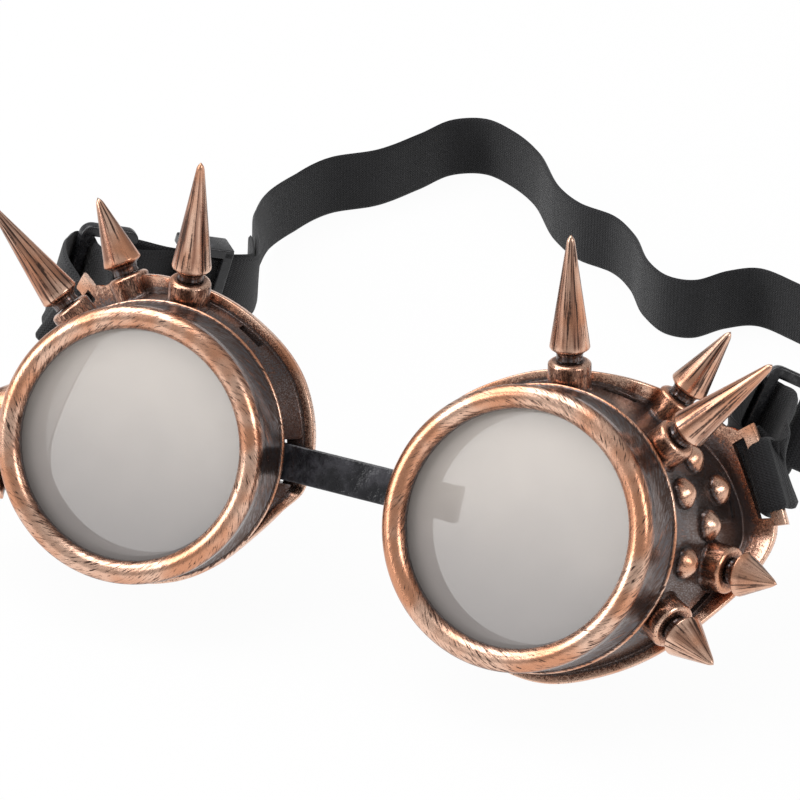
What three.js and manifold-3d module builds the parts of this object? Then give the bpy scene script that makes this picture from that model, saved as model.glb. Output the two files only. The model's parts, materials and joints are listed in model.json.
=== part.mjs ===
// Spiked steampunk goggles lying on a table, lenses tipped up, elastic strap standing on edge behind.
// Millimetres, +Z up, +Y away from the viewer, the lenses face -Y.
import * as THREE from "three";
import { mergeVertices } from "three/addons/utils/BufferGeometryUtils.js";
import Module from "manifold-3d";

const wasm = await Module();
wasm.setup();

// Fits
const GAP = 0.3; // air between pieces that touch
const THREAD_GAP = 0.35; // air all round the thread

// Pose of the cups
const LENS_SPACING = 83.2; // between the two lens centres
const CUP_TILT_LEFT = 24.8; // degrees, lens axis above the table
const CUP_TILT_RIGHT = 28.8;
const TOE_IN = 3.6; // degrees, each lens axis towards the other

// Lens and gasket
const LENS_RADIUS = 25;
const LENS_THICKNESS = 2;
const LENS_RECESS = 2.7; // lens face behind the lip's inner edge
const GASKET_THICKNESS = 1;
const GASKET_WIDTH = 2.1;

// Screwed bezel
const LIP_COVER = 1.55; // lip over the lens edge
const LIP_ROUND = 2.4; // radius of the rolled lip
const BEZEL_LENGTH = 14; // lip's inner edge to the rear face
const BAND_STEP = 2.5; // outside the lens edge
const BAND_START = 3.2;
const BAND_WIDTH = 1.3;
const COVE_STEP = 1.9;
const COVE_DEPTH = 7.4; // where the cove is deepest
const RIDGE_STEP = 3.8;
const RIDGE_WIDTH = 1;
const THREAD_LEAD = 6; // two starts
const THREAD_STARTS = 2;
const THREAD_HEIGHT = 0.85;
const THREAD_ROOT = 1.5; // width of a thread at its foot
const THREAD_CREST = 0.6;
const THREAD_TURN = 0.34; // turns that each thread runs
const THREAD_PLAY = 0.05; // turns past the end of a thread when it is screwed home
const THREAD_STEP = 12; // degrees per facet

// Eyecup
const NECK_WALL = 2;
const SHOULDER_STEP = 2.4; // outside the lens edge
const WALL = 1.9;
const RIM_THICKNESS = 2.4;
const RIM_ROUND = 0.7;
// Rear rim: clock angle from the top towards the temple, depth behind the lip, reach outside the
// shoulder, width.
const RIM_STATIONS = [
  [0, 25.5, 4.8, 2.4],
  [16, 29.5, 6, 3.4],
  [31, 38, 7.2, 5],
  [50, 45, 9.2, 6],
  [67, 48, 10.4, 6.6],
  [80, 48, 11, 6.6],
  [90, 44, 9.9, 5.6],
  [110, 33.5, 6.7, 2.8],
  [128, 27.6, 5, 2.4],
  [150, 25.5, 3.6, 2.2],
  [175, 24, 3.6, 2.2],
  [195, 21.5, 2.4, 1.8],
  [215, 18.4, 1.5, 1.4],
  [235, 17.4, 1.5, 1.4],
  [252, 18, 3.2, 2],
  [262, 20.3, 5.3, 2.3],
  [300, 22, 5.9, 2.3],
  [330, 23.5, 4.5, 2.3],
];

// Vents through the wall next to the rim: clock angle of each
const VENT_ANGLES = [14, 108, 180, 327];
const VENT_LENGTH = 6;
const VENT_WIDTH = 2;

// Moulded studs on the temple side: clock angle, depth behind the lip
const STUDS = [
  [49.8, 31],
  [64, 21.6],
  [63.3, 37.6],
  [77, 30.4],
  [92, 21.6],
];
const STUD_RADIUS = 3.3;
const STUD_TIP_RADIUS = 1.1;
const STUD_HEIGHT = 2.4;

// Spikes: name, clock angle, depth where the axis meets the wall, lean to the front, cone length,
// height of the collar above the wall, radius of the cone's base
const SPIKES = [
  ["top", -3.1, 19.2, 20.8, 23.4, 5.3, 4.1],
  ["crown", 29.4, 33.6, 7.3, 14.4, 5.4, 4.1],
  ["brow", 45.2, 19, 13, 23, 5.3, 4.1],
  ["temple", 92, 32.4, 14.6, 8.2, 5, 4.6],
  ["cheek", 114.2, 19.7, 21.2, 10, 4.7, 4.6],
];
const SPIKE_TIP_RADIUS = 0.7;
const SPIKE_CHAMFER = 0.9;
const SPIKE_NECK_RADIUS = 2.7;
const SPIKE_NECK_LENGTH = 1.6;
const SPIKE_STEM_RADIUS = 1.5;
const SPIKE_STEM_LENGTH = 3;
const COLLAR_MARGIN = 0.25; // collar outside its spike
const COLLAR_CHAMFER = 0.7;

// Bridge strip between the cups
const STRIP_HEIGHT = 7.5;
const STRIP_THICKNESS = 1.6;
const STRIP_RISE = 1; // above the lens centre line
const STRIP_DEPTH = 17.1; // behind the lip at the slot
const STRIP_REACH = 8.4; // end inside the shoulder
const STRIP_STOP_LENGTH = 1.6;
const STRIP_STOP_THICKNESS = 3.4;
const SLOT_PLAY = 0.5; // past each edge of the strip in its slot
const SLOT_SWING = 0.9; // before and behind the strip, for the cups to swing

// Elastic strap
const STRAP_WIDTH = 15;
const STRAP_THICKNESS = 1.1;
const STRAP_LAYER_GAP = 0.45;
const STRAP_TAIL_FIXED = 16; // sewn end behind the right ring
const STRAP_TAIL_FREE = 52; // free end through the slider on the left
const STRAP_EASE = 20; // over which the layers come together past a tail
const STRAP_TURN = 70; // over which the strap twists upright behind each ring
const STRAP_STEP = 4; // between sections of the strap
// Route of the strap's middle from the left ring to the right one: across, away from the viewer, up
const STRAP_ROUTE = [
  [-64.5, 86.8, 26],
  [-60, 91, 24.4],
  [-58.8, 98.5, 21],
  [-62.5, 110, 17.5],
  [-68, 122, 15],
  [-72.5, 135, 12],
  [-76, 150, 9],
  [-75, 163, 7.5],
  [-71, 174, 7.5],
  [-62, 182.5, 7.5],
  [-56, 194, 7.5],
  [-51.5, 204, 7.5],
  [-44.5, 207.5, 7.5],
  [-36, 204, 7.5],
  [-27, 196.5, 7.5],
  [-16.5, 182, 7.5],
  [-8.5, 175.5, 7.5],
  [1, 172.5, 7.5],
  [8, 166, 7.5],
  [15, 155.5, 7.5],
  [22, 150, 7.5],
  [28, 150.5, 7.5],
  [33.5, 157.5, 7.5],
  [39.5, 161.5, 7.5],
  [49, 158.5, 7.5],
  [61, 152, 7.5],
  [73, 142, 7.5],
  [82, 127, 8.5],
  [86.5, 108, 12],
  [87, 90, 18],
  [83, 74, 26.5],
];

// Lug that holds the strap loop
const LUG_ANGLE = 62; // clock angle that its bar faces
const LUG_SLOT_REACH = 8; // slot's middle outside the shoulder
const LUG_SLOT_WIDTH = 2.7;
const LUG_BAR_WIDTH = 2.8;
const LUG_END = 2.4; // material past each end of the slot
const LUG_SLOT_PLAY = 0.6; // past each edge of the strap

// Rectangular rings that join the loops to the strap
// From the lug's bar: outwards, back, up
const RING_OFFSETS = { left: [4, 24, -2], right: [-5, 23, -1] };
const RING_BAR = 2.6;
const RING_WINDOW = 8.2; // along the strap
const RING_CORNER = 2.6;
const RING_SIDE_PLAY = 0.7; // past each edge of the strap
const LOOP_BOW_OUT = 3;
const LOOP_BOW_IN = 7;

// Slider on the strap
const SLIDER_PLACE = 17; // along the strap from the left ring
const SLIDER_LENGTH = 12;
const SLIDER_BAR = 2.4;
const SLIDER_MIDDLE_BAR = 3;
const SLIDER_BAR_THICKNESS = 1.3;
const SLIDER_RAIL = 2.2;
const SLIDER_PLAY = 0.7; // round the two layers of strap

// Facets round a full turn
const FACETS_CUP = 44;
const FACETS_BEZEL = 40;
const FACETS_SMALL = 10;
const FACETS_LENS = 40;

// Fits worked out from the sizes above
const lensFront = -LENS_RECESS;
const lensBack = lensFront - LENS_THICKNESS;
const gasketFront = lensBack - GAP;
const gasketBack = gasketFront - GASKET_THICKNESS;
const neckFront = gasketBack - GAP;
const boreRadius = LENS_RADIUS + GAP;
const lipOpening = LENS_RADIUS - LIP_COVER;
const bandRadius = LENS_RADIUS + BAND_STEP;
const coveRadius = LENS_RADIUS + COVE_STEP;
const ridgeRadius = LENS_RADIUS + RIDGE_STEP;
const shoulderRadius = LENS_RADIUS + SHOULDER_STEP;
const lugSlotDistance = shoulderRadius + LUG_SLOT_REACH;
const neckRadius = boreRadius - THREAD_GAP;
const neckBore = neckRadius - NECK_WALL;
const bezelBack = -BEZEL_LENGTH;
const shoulder = bezelBack - THREAD_GAP;
const lipMiddle = lipOpening + LIP_ROUND;
const lipOuter = lipMiddle + LIP_ROUND;
const threadMiddle = (neckFront + shoulder) / 2;
const stemSocket = SPIKE_STEM_RADIUS + GAP;
const layerOffset = (STRAP_THICKNESS + STRAP_LAYER_GAP) / 2;

const rad = THREE.MathUtils.degToRad;
const vec = (x, y, z) => new THREE.Vector3(x, y, z);

// A point of the cup from its clock angle, radius and place along the lens axis; +x is the temple side.
function onClock(angle, radius, z) {
  return vec(radius * Math.sin(rad(angle)), radius * Math.cos(rad(angle)), z);
}

// Smooth periodic value of one column of the rim stations.
function rimValue(angle, column) {
  const turn = ((angle % 360) + 360) % 360;
  const count = RIM_STATIONS.length;
  const at = (i) => RIM_STATIONS[((i % count) + count) % count];
  const clock = (i) => at(i)[0] + 360 * Math.floor(i / count);
  let i = 0;
  while (i + 1 < count && clock(i + 1) <= turn) i += 1;
  const span = clock(i + 1) - clock(i);
  const t = (turn - clock(i)) / span;
  const slope = (j) => (at(j + 1)[column] - at(j - 1)[column]) / (clock(j + 1) - clock(j - 1));
  const t2 = t * t;
  const t3 = t2 * t;
  return (
    at(i)[column] * (2 * t3 - 3 * t2 + 1) +
    at(i + 1)[column] * (3 * t2 - 2 * t3) +
    slope(i) * span * (t3 - 2 * t2 + t) +
    slope(i + 1) * span * (t3 - t2)
  );
}
const rimDepth = (angle) => rimValue(angle, 1);
const rimRadius = (angle) => shoulderRadius + rimValue(angle, 2);
const wallEndRadius = (angle) => rimRadius(angle) - rimValue(angle, 3);

// Outer radius of the flared wall at a clock angle and depth.
function wallRadius(angle, depth) {
  const start = -shoulder;
  const end = rimDepth(angle) - RIM_THICKNESS;
  const t = Math.min(1, Math.max(0, (depth - start) / Math.max(end - start, GAP)));
  return shoulderRadius + (wallEndRadius(angle) - shoulderRadius) * t;
}

// A closed mesh as a solid, turned right side out.
function solid(geometry) {
  const bare = geometry.clone();
  bare.deleteAttribute("normal");
  bare.deleteAttribute("uv");
  const merged = mergeVertices(bare, 1e-4);
  const place = merged.getAttribute("position");
  const faces = [];
  let volume = 0;
  const a = vec(0, 0, 0);
  const b = vec(0, 0, 0);
  const c = vec(0, 0, 0);
  for (let i = 0; i < merged.index.count; i += 3) {
    const ids = [0, 1, 2].map((k) => merged.index.getX(i + k));
    if (new Set(ids).size < 3) continue;
    a.fromBufferAttribute(place, ids[0]);
    b.fromBufferAttribute(place, ids[1]);
    c.fromBufferAttribute(place, ids[2]);
    volume += a.dot(b.clone().cross(c));
    faces.push(ids);
  }
  const triVerts = new Uint32Array(faces.flatMap((f) => (volume < 0 ? [f[0], f[2], f[1]] : f)));
  const vertProperties = new Float32Array(place.array);
  return new wasm.Manifold(new wasm.Mesh({ numProp: 3, vertProperties, triVerts }));
}

function toGeometry(body) {
  const mesh = body.getMesh();
  const geometry = new THREE.BufferGeometry();
  geometry.setAttribute("position", new THREE.BufferAttribute(new Float32Array(mesh.vertProperties), 3));
  geometry.setIndex([...mesh.triVerts]);
  geometry.computeVertexNormals();
  return geometry;
}

// Sections of equally many points joined into a closed skin; a run with open ends gets flat caps.
function loft(sections, closed) {
  const count = sections[0].length;
  const positions = sections.flat().flatMap((p) => [p.x, p.y, p.z]);
  const index = [];
  const runs = closed ? sections.length : sections.length - 1;
  for (let s = 0; s < runs; s += 1) {
    const next = (s + 1) % sections.length;
    for (let k = 0; k < count; k += 1) {
      const l = (k + 1) % count;
      const [a, b, c, d] = [s * count + k, s * count + l, next * count + l, next * count + k];
      index.push(a, b, c, a, c, d);
    }
  }
  if (!closed) {
    const last = (sections.length - 1) * count;
    for (let k = 1; k + 1 < count; k += 1) {
      index.push(0, k + 1, k, last, last + k, last + k + 1);
    }
  }
  const geometry = new THREE.BufferGeometry();
  geometry.setAttribute("position", new THREE.Float32BufferAttribute(positions, 3));
  geometry.setIndex(index);
  return geometry;
}

// A solid turned about the lens axis whose profile may change with the clock angle.
// The profile runs from the front of the axis to its back.
function spun(profile, facets) {
  const rows = [];
  for (let k = 0; k < facets; k += 1) {
    const angle = (360 * k) / facets;
    rows.push(profile(angle).map(([radius, z]) => onClock(angle, radius, z)));
  }
  return loft(rows, true);
}

// A lathe part about the lens axis from a closed profile of [radius, z].
function turned(profile, facets) {
  const points = [...profile, profile[0]].map(([radius, z]) => new THREE.Vector2(radius, z));
  return new THREE.LatheGeometry(points, facets).rotateX(Math.PI / 2);
}

// A small turned piece about +y whose profile of [radius, height] starts and ends on the axis.
function lathe(profile) {
  const points = profile.map(([radius, y]) => new THREE.Vector2(radius, y));
  return new THREE.LatheGeometry(points, FACETS_SMALL);
}

function mirrored(geometry, side) {
  return side < 0 ? toGeometry(solid(geometry.clone().scale(-1, 1, 1))) : geometry;
}

// Threads: a trapezium swept along a helix between two counts of turns, grown by a clearance.
function threads(from, to, grow) {
  const foot = neckRadius - NECK_WALL / 2;
  const crest = neckRadius + THREAD_HEIGHT + grow;
  const root = THREAD_ROOT / 2 + grow;
  const top = THREAD_CREST / 2 + grow;
  const steps = Math.ceil((360 * (to - from)) / THREAD_STEP);
  const bodies = [];
  for (let start = 0; start < THREAD_STARTS; start += 1) {
    const sections = [];
    for (let i = 0; i <= steps; i += 1) {
      const turn = from + ((to - from) * i) / steps;
      const angle = (360 * start) / THREAD_STARTS - 360 * turn;
      const z = threadMiddle + turn * THREAD_LEAD;
      sections.push([
        onClock(angle, foot, z - root),
        onClock(angle, foot, z + root),
        onClock(angle, crest, z + top),
        onClock(angle, crest, z - top),
      ]);
    }
    bodies.push(solid(loft(sections, false)));
  }
  return bodies.reduce((a, b) => a.add(b));
}

// A geometry that stands along +y, placed on a foot point and turned along a direction.
function standing(geometry, foot, direction) {
  const turn = new THREE.Quaternion().setFromUnitVectors(vec(0, 1, 0), direction);
  return geometry.applyQuaternion(turn).translate(foot.x, foot.y, foot.z);
}

function outward(angle, lean) {
  return onClock(angle, Math.cos(rad(lean)), Math.sin(rad(lean)));
}

// Box given by its middle, its sizes and the directions of its sides.
function orientedBox(middle, sizes, axes) {
  const turn = new THREE.Matrix4().makeBasis(...axes).setPosition(middle);
  return new THREE.BoxGeometry(...sizes).applyMatrix4(turn);
}

// Lug frame in the cup: out of the axis, along the slot, along the lens axis.
const lugDepth = rimDepth(LUG_ANGLE);
const lugOut = onClock(LUG_ANGLE, 1, 0);
const lugAlong = vec(-lugOut.y, lugOut.x, 0);
const lensAxis = vec(0, 0, 1);
const lugAxes = [lugOut, lugAlong, lensAxis];
const lugSlotLength = STRAP_WIDTH + 2 * LUG_SLOT_PLAY;
const lugBarDistance = lugSlotDistance + LUG_SLOT_WIDTH / 2 + LUG_BAR_WIDTH / 2;
const lugMiddleZ = -lugDepth + RIM_THICKNESS / 2;

// Moulded eyecup: threaded neck, flared wall, rolled rim, collars, studs, strap lug, vents and slots.
function eyecup(side) {
  const outer = spun((angle) => {
    const depth = rimDepth(angle);
    const wallEnd = wallEndRadius(angle);
    const rim = rimRadius(angle);
    const rimFront = -(depth - RIM_THICKNESS);
    return [
      [0.5, neckFront],
      [neckRadius - RIM_ROUND, neckFront],
      [neckRadius, neckFront - RIM_ROUND],
      [neckRadius, shoulder],
      [shoulderRadius - GAP, shoulder],
      [shoulderRadius, shoulder - GAP],
      [wallEnd, rimFront],
      [rim - RIM_ROUND, rimFront],
      [rim, rimFront - RIM_ROUND],
      [rim, -depth + RIM_ROUND],
      [rim - RIM_ROUND, -depth],
      [wallEnd - 2 * WALL, -depth],
      [0.5, shoulder - 2 * WALL],
    ];
  }, FACETS_CUP);
  const cavity = spun((angle) => {
    const depth = rimDepth(angle);
    const wallEnd = wallEndRadius(angle) - WALL;
    const neckEnd = shoulder - GAP;
    const flareStart = neckEnd - 0.35 * (depth - RIM_THICKNESS / 2 + neckEnd);
    return [
      [0.4, neckFront + 1],
      [neckBore, neckFront + 1],
      [neckBore, neckEnd],
      [Math.min(shoulderRadius - WALL, wallEnd), flareStart],
      [wallEnd, -(depth - RIM_THICKNESS / 2)],
      [wallEnd, -(depth + 1)],
      [0.4, -2 * depth],
    ];
  }, FACETS_CUP);
  let body = solid(outer);
  for (const [, angle, depth, lean, , collarTop, radius] of SPIKES) {
    const direction = outward(angle, lean);
    const foot = onClock(angle, wallRadius(angle, depth), -depth);
    const collarRadius = radius + COLLAR_MARGIN;
    const collar = lathe([
      [0, -3 * WALL],
      [collarRadius, -3 * WALL],
      [collarRadius, collarTop - COLLAR_CHAMFER],
      [collarRadius - COLLAR_CHAMFER, collarTop],
      [0, collarTop],
    ]);
    body = body.add(solid(standing(collar, foot, direction)));
  }
  for (const [angle, depth] of STUDS) {
    const end = rimDepth(angle) - RIM_THICKNESS;
    const flare = Math.atan2(wallEndRadius(angle) - shoulderRadius, end + shoulder);
    const direction = outward(angle, THREE.MathUtils.radToDeg(flare));
    const foot = onClock(angle, wallRadius(angle, depth), -depth);
    const stud = lathe([
      [0, -WALL],
      [STUD_RADIUS, -WALL],
      [STUD_RADIUS, 0],
      [STUD_TIP_RADIUS, STUD_HEIGHT],
      [0, STUD_HEIGHT],
    ]);
    body = body.add(solid(standing(stud, foot, direction)));
  }
  const lugInner = lugSlotDistance - LUG_SLOT_WIDTH / 2 - LUG_END;
  const lugOuter = lugBarDistance + LUG_BAR_WIDTH / 2;
  const lug = orientedBox(
    lugOut.clone().multiplyScalar((lugInner + lugOuter) / 2).setZ(lugMiddleZ),
    [lugOuter - lugInner, lugSlotLength + 2 * LUG_END, RIM_THICKNESS],
    lugAxes,
  );
  body = body.add(solid(lug)).subtract(solid(cavity));
  const slot = orientedBox(
    lugOut.clone().multiplyScalar(lugSlotDistance).setZ(lugMiddleZ),
    [LUG_SLOT_WIDTH, lugSlotLength, 4 * RIM_THICKNESS],
    lugAxes,
  );
  body = body.subtract(solid(slot));
  for (const angle of VENT_ANGLES) {
    const z = -(rimDepth(angle) - RIM_THICKNESS - VENT_WIDTH / 2 - GAP);
    const out = onClock(angle, 1, 0);
    const vent = orientedBox(
      onClock(angle, wallRadius(angle, -z), z),
      [4 * WALL, VENT_LENGTH, VENT_WIDTH],
      [out, vec(-out.y, out.x, 0), lensAxis],
    );
    body = body.subtract(solid(vent));
  }
  const bridgeSlot = new THREE.BoxGeometry(
    shoulderRadius,
    STRIP_HEIGHT + 2 * SLOT_PLAY,
    STRIP_THICKNESS + 2 * SLOT_SWING,
  ).translate(-shoulderRadius, STRIP_RISE, -STRIP_DEPTH);
  body = body.subtract(solid(bridgeSlot));
  for (const [, angle, depth, lean, , collarTop, radius] of SPIKES) {
    const direction = outward(angle, lean);
    const foot = onClock(angle, wallRadius(angle, depth), -depth);
    const deep = SPIKE_STEM_LENGTH + GAP;
    const socket = lathe([
      [0, collarTop - deep],
      [stemSocket, collarTop - deep],
      [stemSocket, collarTop + GAP / 2],
      [radius + GAP, collarTop + GAP / 2],
      [radius + GAP, collarTop + 2 * deep],
      [0, collarTop + 2 * deep],
    ]);
    body = body.subtract(solid(standing(socket, foot, direction)));
  }
  const handed = solid(mirrored(toGeometry(body), side));
  return toGeometry(handed.add(threads(-THREAD_TURN / 2, THREAD_TURN / 2, 0)));
}

// Bezel: rolled lip, step band, coved skirt, ridge, and the thread cut in its bore.
function bezel() {
  const lip = [];
  for (let i = 0; i <= 6; i += 1) {
    const a = Math.PI - (Math.PI * i) / 6;
    lip.push([lipMiddle + LIP_ROUND * Math.cos(a), -LIP_ROUND / 2 + LIP_ROUND * Math.sin(a)]);
  }
  const cove = [];
  const coveStart = BAND_START + BAND_WIDTH + GAP;
  const coveEnd = BEZEL_LENGTH - RIDGE_WIDTH;
  for (let i = 0; i <= 4; i += 1) {
    const depth = coveStart + ((coveEnd - coveStart) * i) / 4;
    const rise = Math.max(0, (depth - COVE_DEPTH) / (coveEnd - COVE_DEPTH));
    cove.push([coveRadius + (ridgeRadius - coveRadius) * rise * rise, -depth]);
  }
  const profile = [
    ...lip,
    [lipOuter, -(BAND_START - GAP)],
    [bandRadius, -BAND_START],
    [bandRadius, -(BAND_START + BAND_WIDTH)],
    ...cove,
    [ridgeRadius, bezelBack + GAP],
    [ridgeRadius - GAP, bezelBack],
    [boreRadius, bezelBack],
    [boreRadius, lensFront + GAP],
    [lipOpening, lensFront + GAP],
  ];
  const wayOut = (bezelBack - THREAD_ROOT - threadMiddle) / THREAD_LEAD;
  const cut = threads(wayOut, THREAD_TURN / 2 + THREAD_PLAY, THREAD_GAP);
  return toGeometry(solid(turned(profile, FACETS_BEZEL)).subtract(cut));
}

function lens() {
  const edge = GAP;
  const points = [
    [0, lensBack],
    [LENS_RADIUS - edge, lensBack],
    [LENS_RADIUS, lensBack + edge],
    [LENS_RADIUS, lensFront - edge],
    [LENS_RADIUS - edge, lensFront],
    [0, lensFront],
  ].map(([radius, z]) => new THREE.Vector2(radius, z));
  return toGeometry(solid(new THREE.LatheGeometry(points, FACETS_LENS).rotateX(Math.PI / 2)));
}

function gasket() {
  return toGeometry(
    solid(
      turned(
        [
          [LENS_RADIUS - GASKET_WIDTH, gasketFront],
          [LENS_RADIUS - GAP, gasketFront],
          [LENS_RADIUS - GAP, gasketBack],
          [LENS_RADIUS - GASKET_WIDTH, gasketBack],
        ],
        FACETS_BEZEL,
      ),
    ),
  );
}

// Spike: stem in the collar's socket, neck, chamfer and cone.
function spike(angle, depth, lean, length, collarTop, radius) {
  const spikeFoot = collarTop + GAP;
  const base = spikeFoot + SPIKE_NECK_LENGTH;
  const geometry = lathe([
    [0, collarTop - SPIKE_STEM_LENGTH],
    [SPIKE_STEM_RADIUS, collarTop - SPIKE_STEM_LENGTH],
    [SPIKE_STEM_RADIUS, spikeFoot],
    [SPIKE_NECK_RADIUS, spikeFoot],
    [SPIKE_NECK_RADIUS, base],
    [radius, base + SPIKE_CHAMFER],
    [SPIKE_TIP_RADIUS, base + SPIKE_CHAMFER + length - SPIKE_TIP_RADIUS / 2],
    [0, base + SPIKE_CHAMFER + length],
  ]);
  const foot = onClock(angle, wallRadius(angle, depth), -depth);
  return toGeometry(solid(standing(geometry, foot, outward(angle, lean))));
}

// Flat band through frames of a middle point and a width direction.
function band(frames, closed) {
  const count = frames.length;
  const sections = frames.map(({ point, across }, i) => {
    const before = frames[closed ? (i + count - 1) % count : Math.max(0, i - 1)].point;
    const after = frames[closed ? (i + 1) % count : Math.min(count - 1, i + 1)].point;
    const along = after.clone().sub(before).normalize();
    const flat = across.clone().addScaledVector(along, -across.dot(along)).normalize();
    const normal = along.clone().cross(flat);
    const corner = (u, v) =>
      point
        .clone()
        .addScaledVector(flat, (u * STRAP_WIDTH) / 2)
        .addScaledVector(normal, (v * STRAP_THICKNESS) / 2);
    return [corner(-1, -1), corner(1, -1), corner(1, 1), corner(-1, 1)];
  });
  return toGeometry(solid(loft(sections, closed)));
}

const copper = () => new THREE.MeshStandardMaterial({ color: 0xb5835f, roughness: 0.4, metalness: 0.8 });
const smoked = () => new THREE.MeshStandardMaterial({ color: 0xbeb7af, roughness: 0.12, metalness: 0.2 });
const rubber = () => new THREE.MeshStandardMaterial({ color: 0x2c2b30, roughness: 0.6, metalness: 0 });
const elastic = () => new THREE.MeshStandardMaterial({ color: 0x232326, roughness: 0.9, metalness: 0 });
const plastic = () => new THREE.MeshStandardMaterial({ color: 0x1d1d20, roughness: 0.45, metalness: 0 });

function named(name, geometry, material) {
  const mesh = new THREE.Mesh(geometry, material);
  mesh.name = name;
  return mesh;
}

// Each cup stands on its own rim: the table is at z = 0.
const goggles = new THREE.Group();
const cups = {};
for (const [name, side, tilt] of [["left", -1, CUP_TILT_LEFT], ["right", 1, CUP_TILT_RIGHT]]) {
  const cup = new THREE.Group();
  cup.position.x = (side * LENS_SPACING) / 2;
  cup.rotation.set(rad(90 - tilt), rad(-side * TOE_IN), 0);
  cup.add(named(`eyecup_${name}`, eyecup(side), copper()));
  cup.add(named(`bezel_${name}`, bezel(), copper()));
  cup.add(named(`lens_${name}`, lens(), smoked()));
  cup.add(named(`lens_gasket_${name}`, gasket(), rubber()));
  for (const [label, ...sizes] of SPIKES) {
    cup.add(named(`spike_${label}_${name}`, mirrored(spike(...sizes), side), copper()));
  }
  goggles.add(cup);
  goggles.updateMatrixWorld(true);
  cup.position.z = -new THREE.Box3().setFromObject(cup, true).min.z;
  cups[name] = cup;
}
goggles.updateMatrixWorld(true);

// Bridge strip: a straight bar through both nasal slots with a stop at each end.
function bridgeStrip() {
  const slot = (side) => vec(-side * shoulderRadius, STRIP_RISE, -STRIP_DEPTH);
  const left = slot(-1).applyMatrix4(cups.left.matrixWorld);
  const right = slot(1).applyMatrix4(cups.right.matrixWorld);
  const along = right.clone().sub(left).normalize();
  const up = vec(0, 1, 0).transformDirection(cups.left.matrixWorld);
  up.add(vec(0, 1, 0).transformDirection(cups.right.matrixWorld));
  up.addScaledVector(along, -up.dot(along)).normalize();
  const axes = [along, up, along.clone().cross(up)];
  const middle = left.clone().lerp(right, 0.5);
  const length = left.distanceTo(right) + 2 * STRIP_REACH;
  let body = solid(orientedBox(middle, [length, STRIP_HEIGHT, STRIP_THICKNESS], axes));
  for (const side of [-1, 1]) {
    const place = middle.clone().addScaledVector(along, (side * (length - STRIP_STOP_LENGTH)) / 2);
    const stop = orientedBox(place, [STRIP_STOP_LENGTH, STRIP_HEIGHT, STRIP_STOP_THICKNESS], axes);
    body = body.add(solid(stop));
  }
  return toGeometry(body);
}
goggles.add(named("bridge_strip", bridgeStrip(), rubber()));

// World frame of a lug, and of the ring behind it.
function strapEnd(name, side) {
  const matrix = cups[name].matrixWorld;
  const handed = (v) => vec(side * v.x, v.y, v.z);
  const turn = (v) => handed(v).transformDirection(matrix);
  const bar = handed(lugOut.clone().multiplyScalar(lugBarDistance).setZ(lugMiddleZ)).applyMatrix4(matrix);
  const out = turn(lugOut);
  const along = turn(lugAlong);
  const axis = turn(lensAxis);
  const [x, y, z] = RING_OFFSETS[name];
  const ring = bar.clone().add(vec(side * x, y, z));
  const first = vec(...(side < 0 ? STRAP_ROUTE[0] : STRAP_ROUTE[STRAP_ROUTE.length - 1]));
  const back = first.sub(ring).normalize();
  const upright = along.clone().multiplyScalar(Math.sign(along.z)).add(vec(0, 0, 1));
  const across = upright.addScaledVector(back, -upright.dot(back)).normalize();
  return { bar, out, along, axis, ring, back, across };
}

const ringPitch = RING_WINDOW / 2 + RING_BAR / 2;
const wrapRadius = RING_BAR / Math.SQRT2 + GAP + STRAP_THICKNESS / 2;

// Rectangular ring with round corners.
function strapRing(end) {
  const halfAcross = STRAP_WIDTH / 2 + RING_SIDE_PLAY;
  const halfAlong = RING_WINDOW / 2;
  const rounded = (path, u, v, r) => {
    path.moveTo(-u + r, -v);
    path.lineTo(u - r, -v);
    path.absarc(u - r, -v + r, r, -Math.PI / 2, 0);
    path.lineTo(u, v - r);
    path.absarc(u - r, v - r, r, 0, Math.PI / 2);
    path.lineTo(-u + r, v);
    path.absarc(-u + r, v - r, r, Math.PI / 2, Math.PI);
    path.lineTo(-u, -v + r);
    path.absarc(-u + r, -v + r, r, Math.PI, Math.PI * 1.5);
    return path;
  };
  const shape = rounded(new THREE.Shape(), halfAcross + RING_BAR, halfAlong + RING_BAR, RING_CORNER);
  shape.holes.push(rounded(new THREE.Path(), halfAcross, halfAlong, RING_CORNER / 4));
  const extrude = { depth: RING_BAR, bevelEnabled: false, curveSegments: 3 };
  const geometry = new THREE.ExtrudeGeometry(shape, extrude);
  geometry.translate(0, 0, -RING_BAR / 2);
  const basis = new THREE.Matrix4().makeBasis(end.across, end.back, end.across.clone().cross(end.back));
  return toGeometry(solid(geometry.applyMatrix4(basis.setPosition(end.ring))));
}

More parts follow.
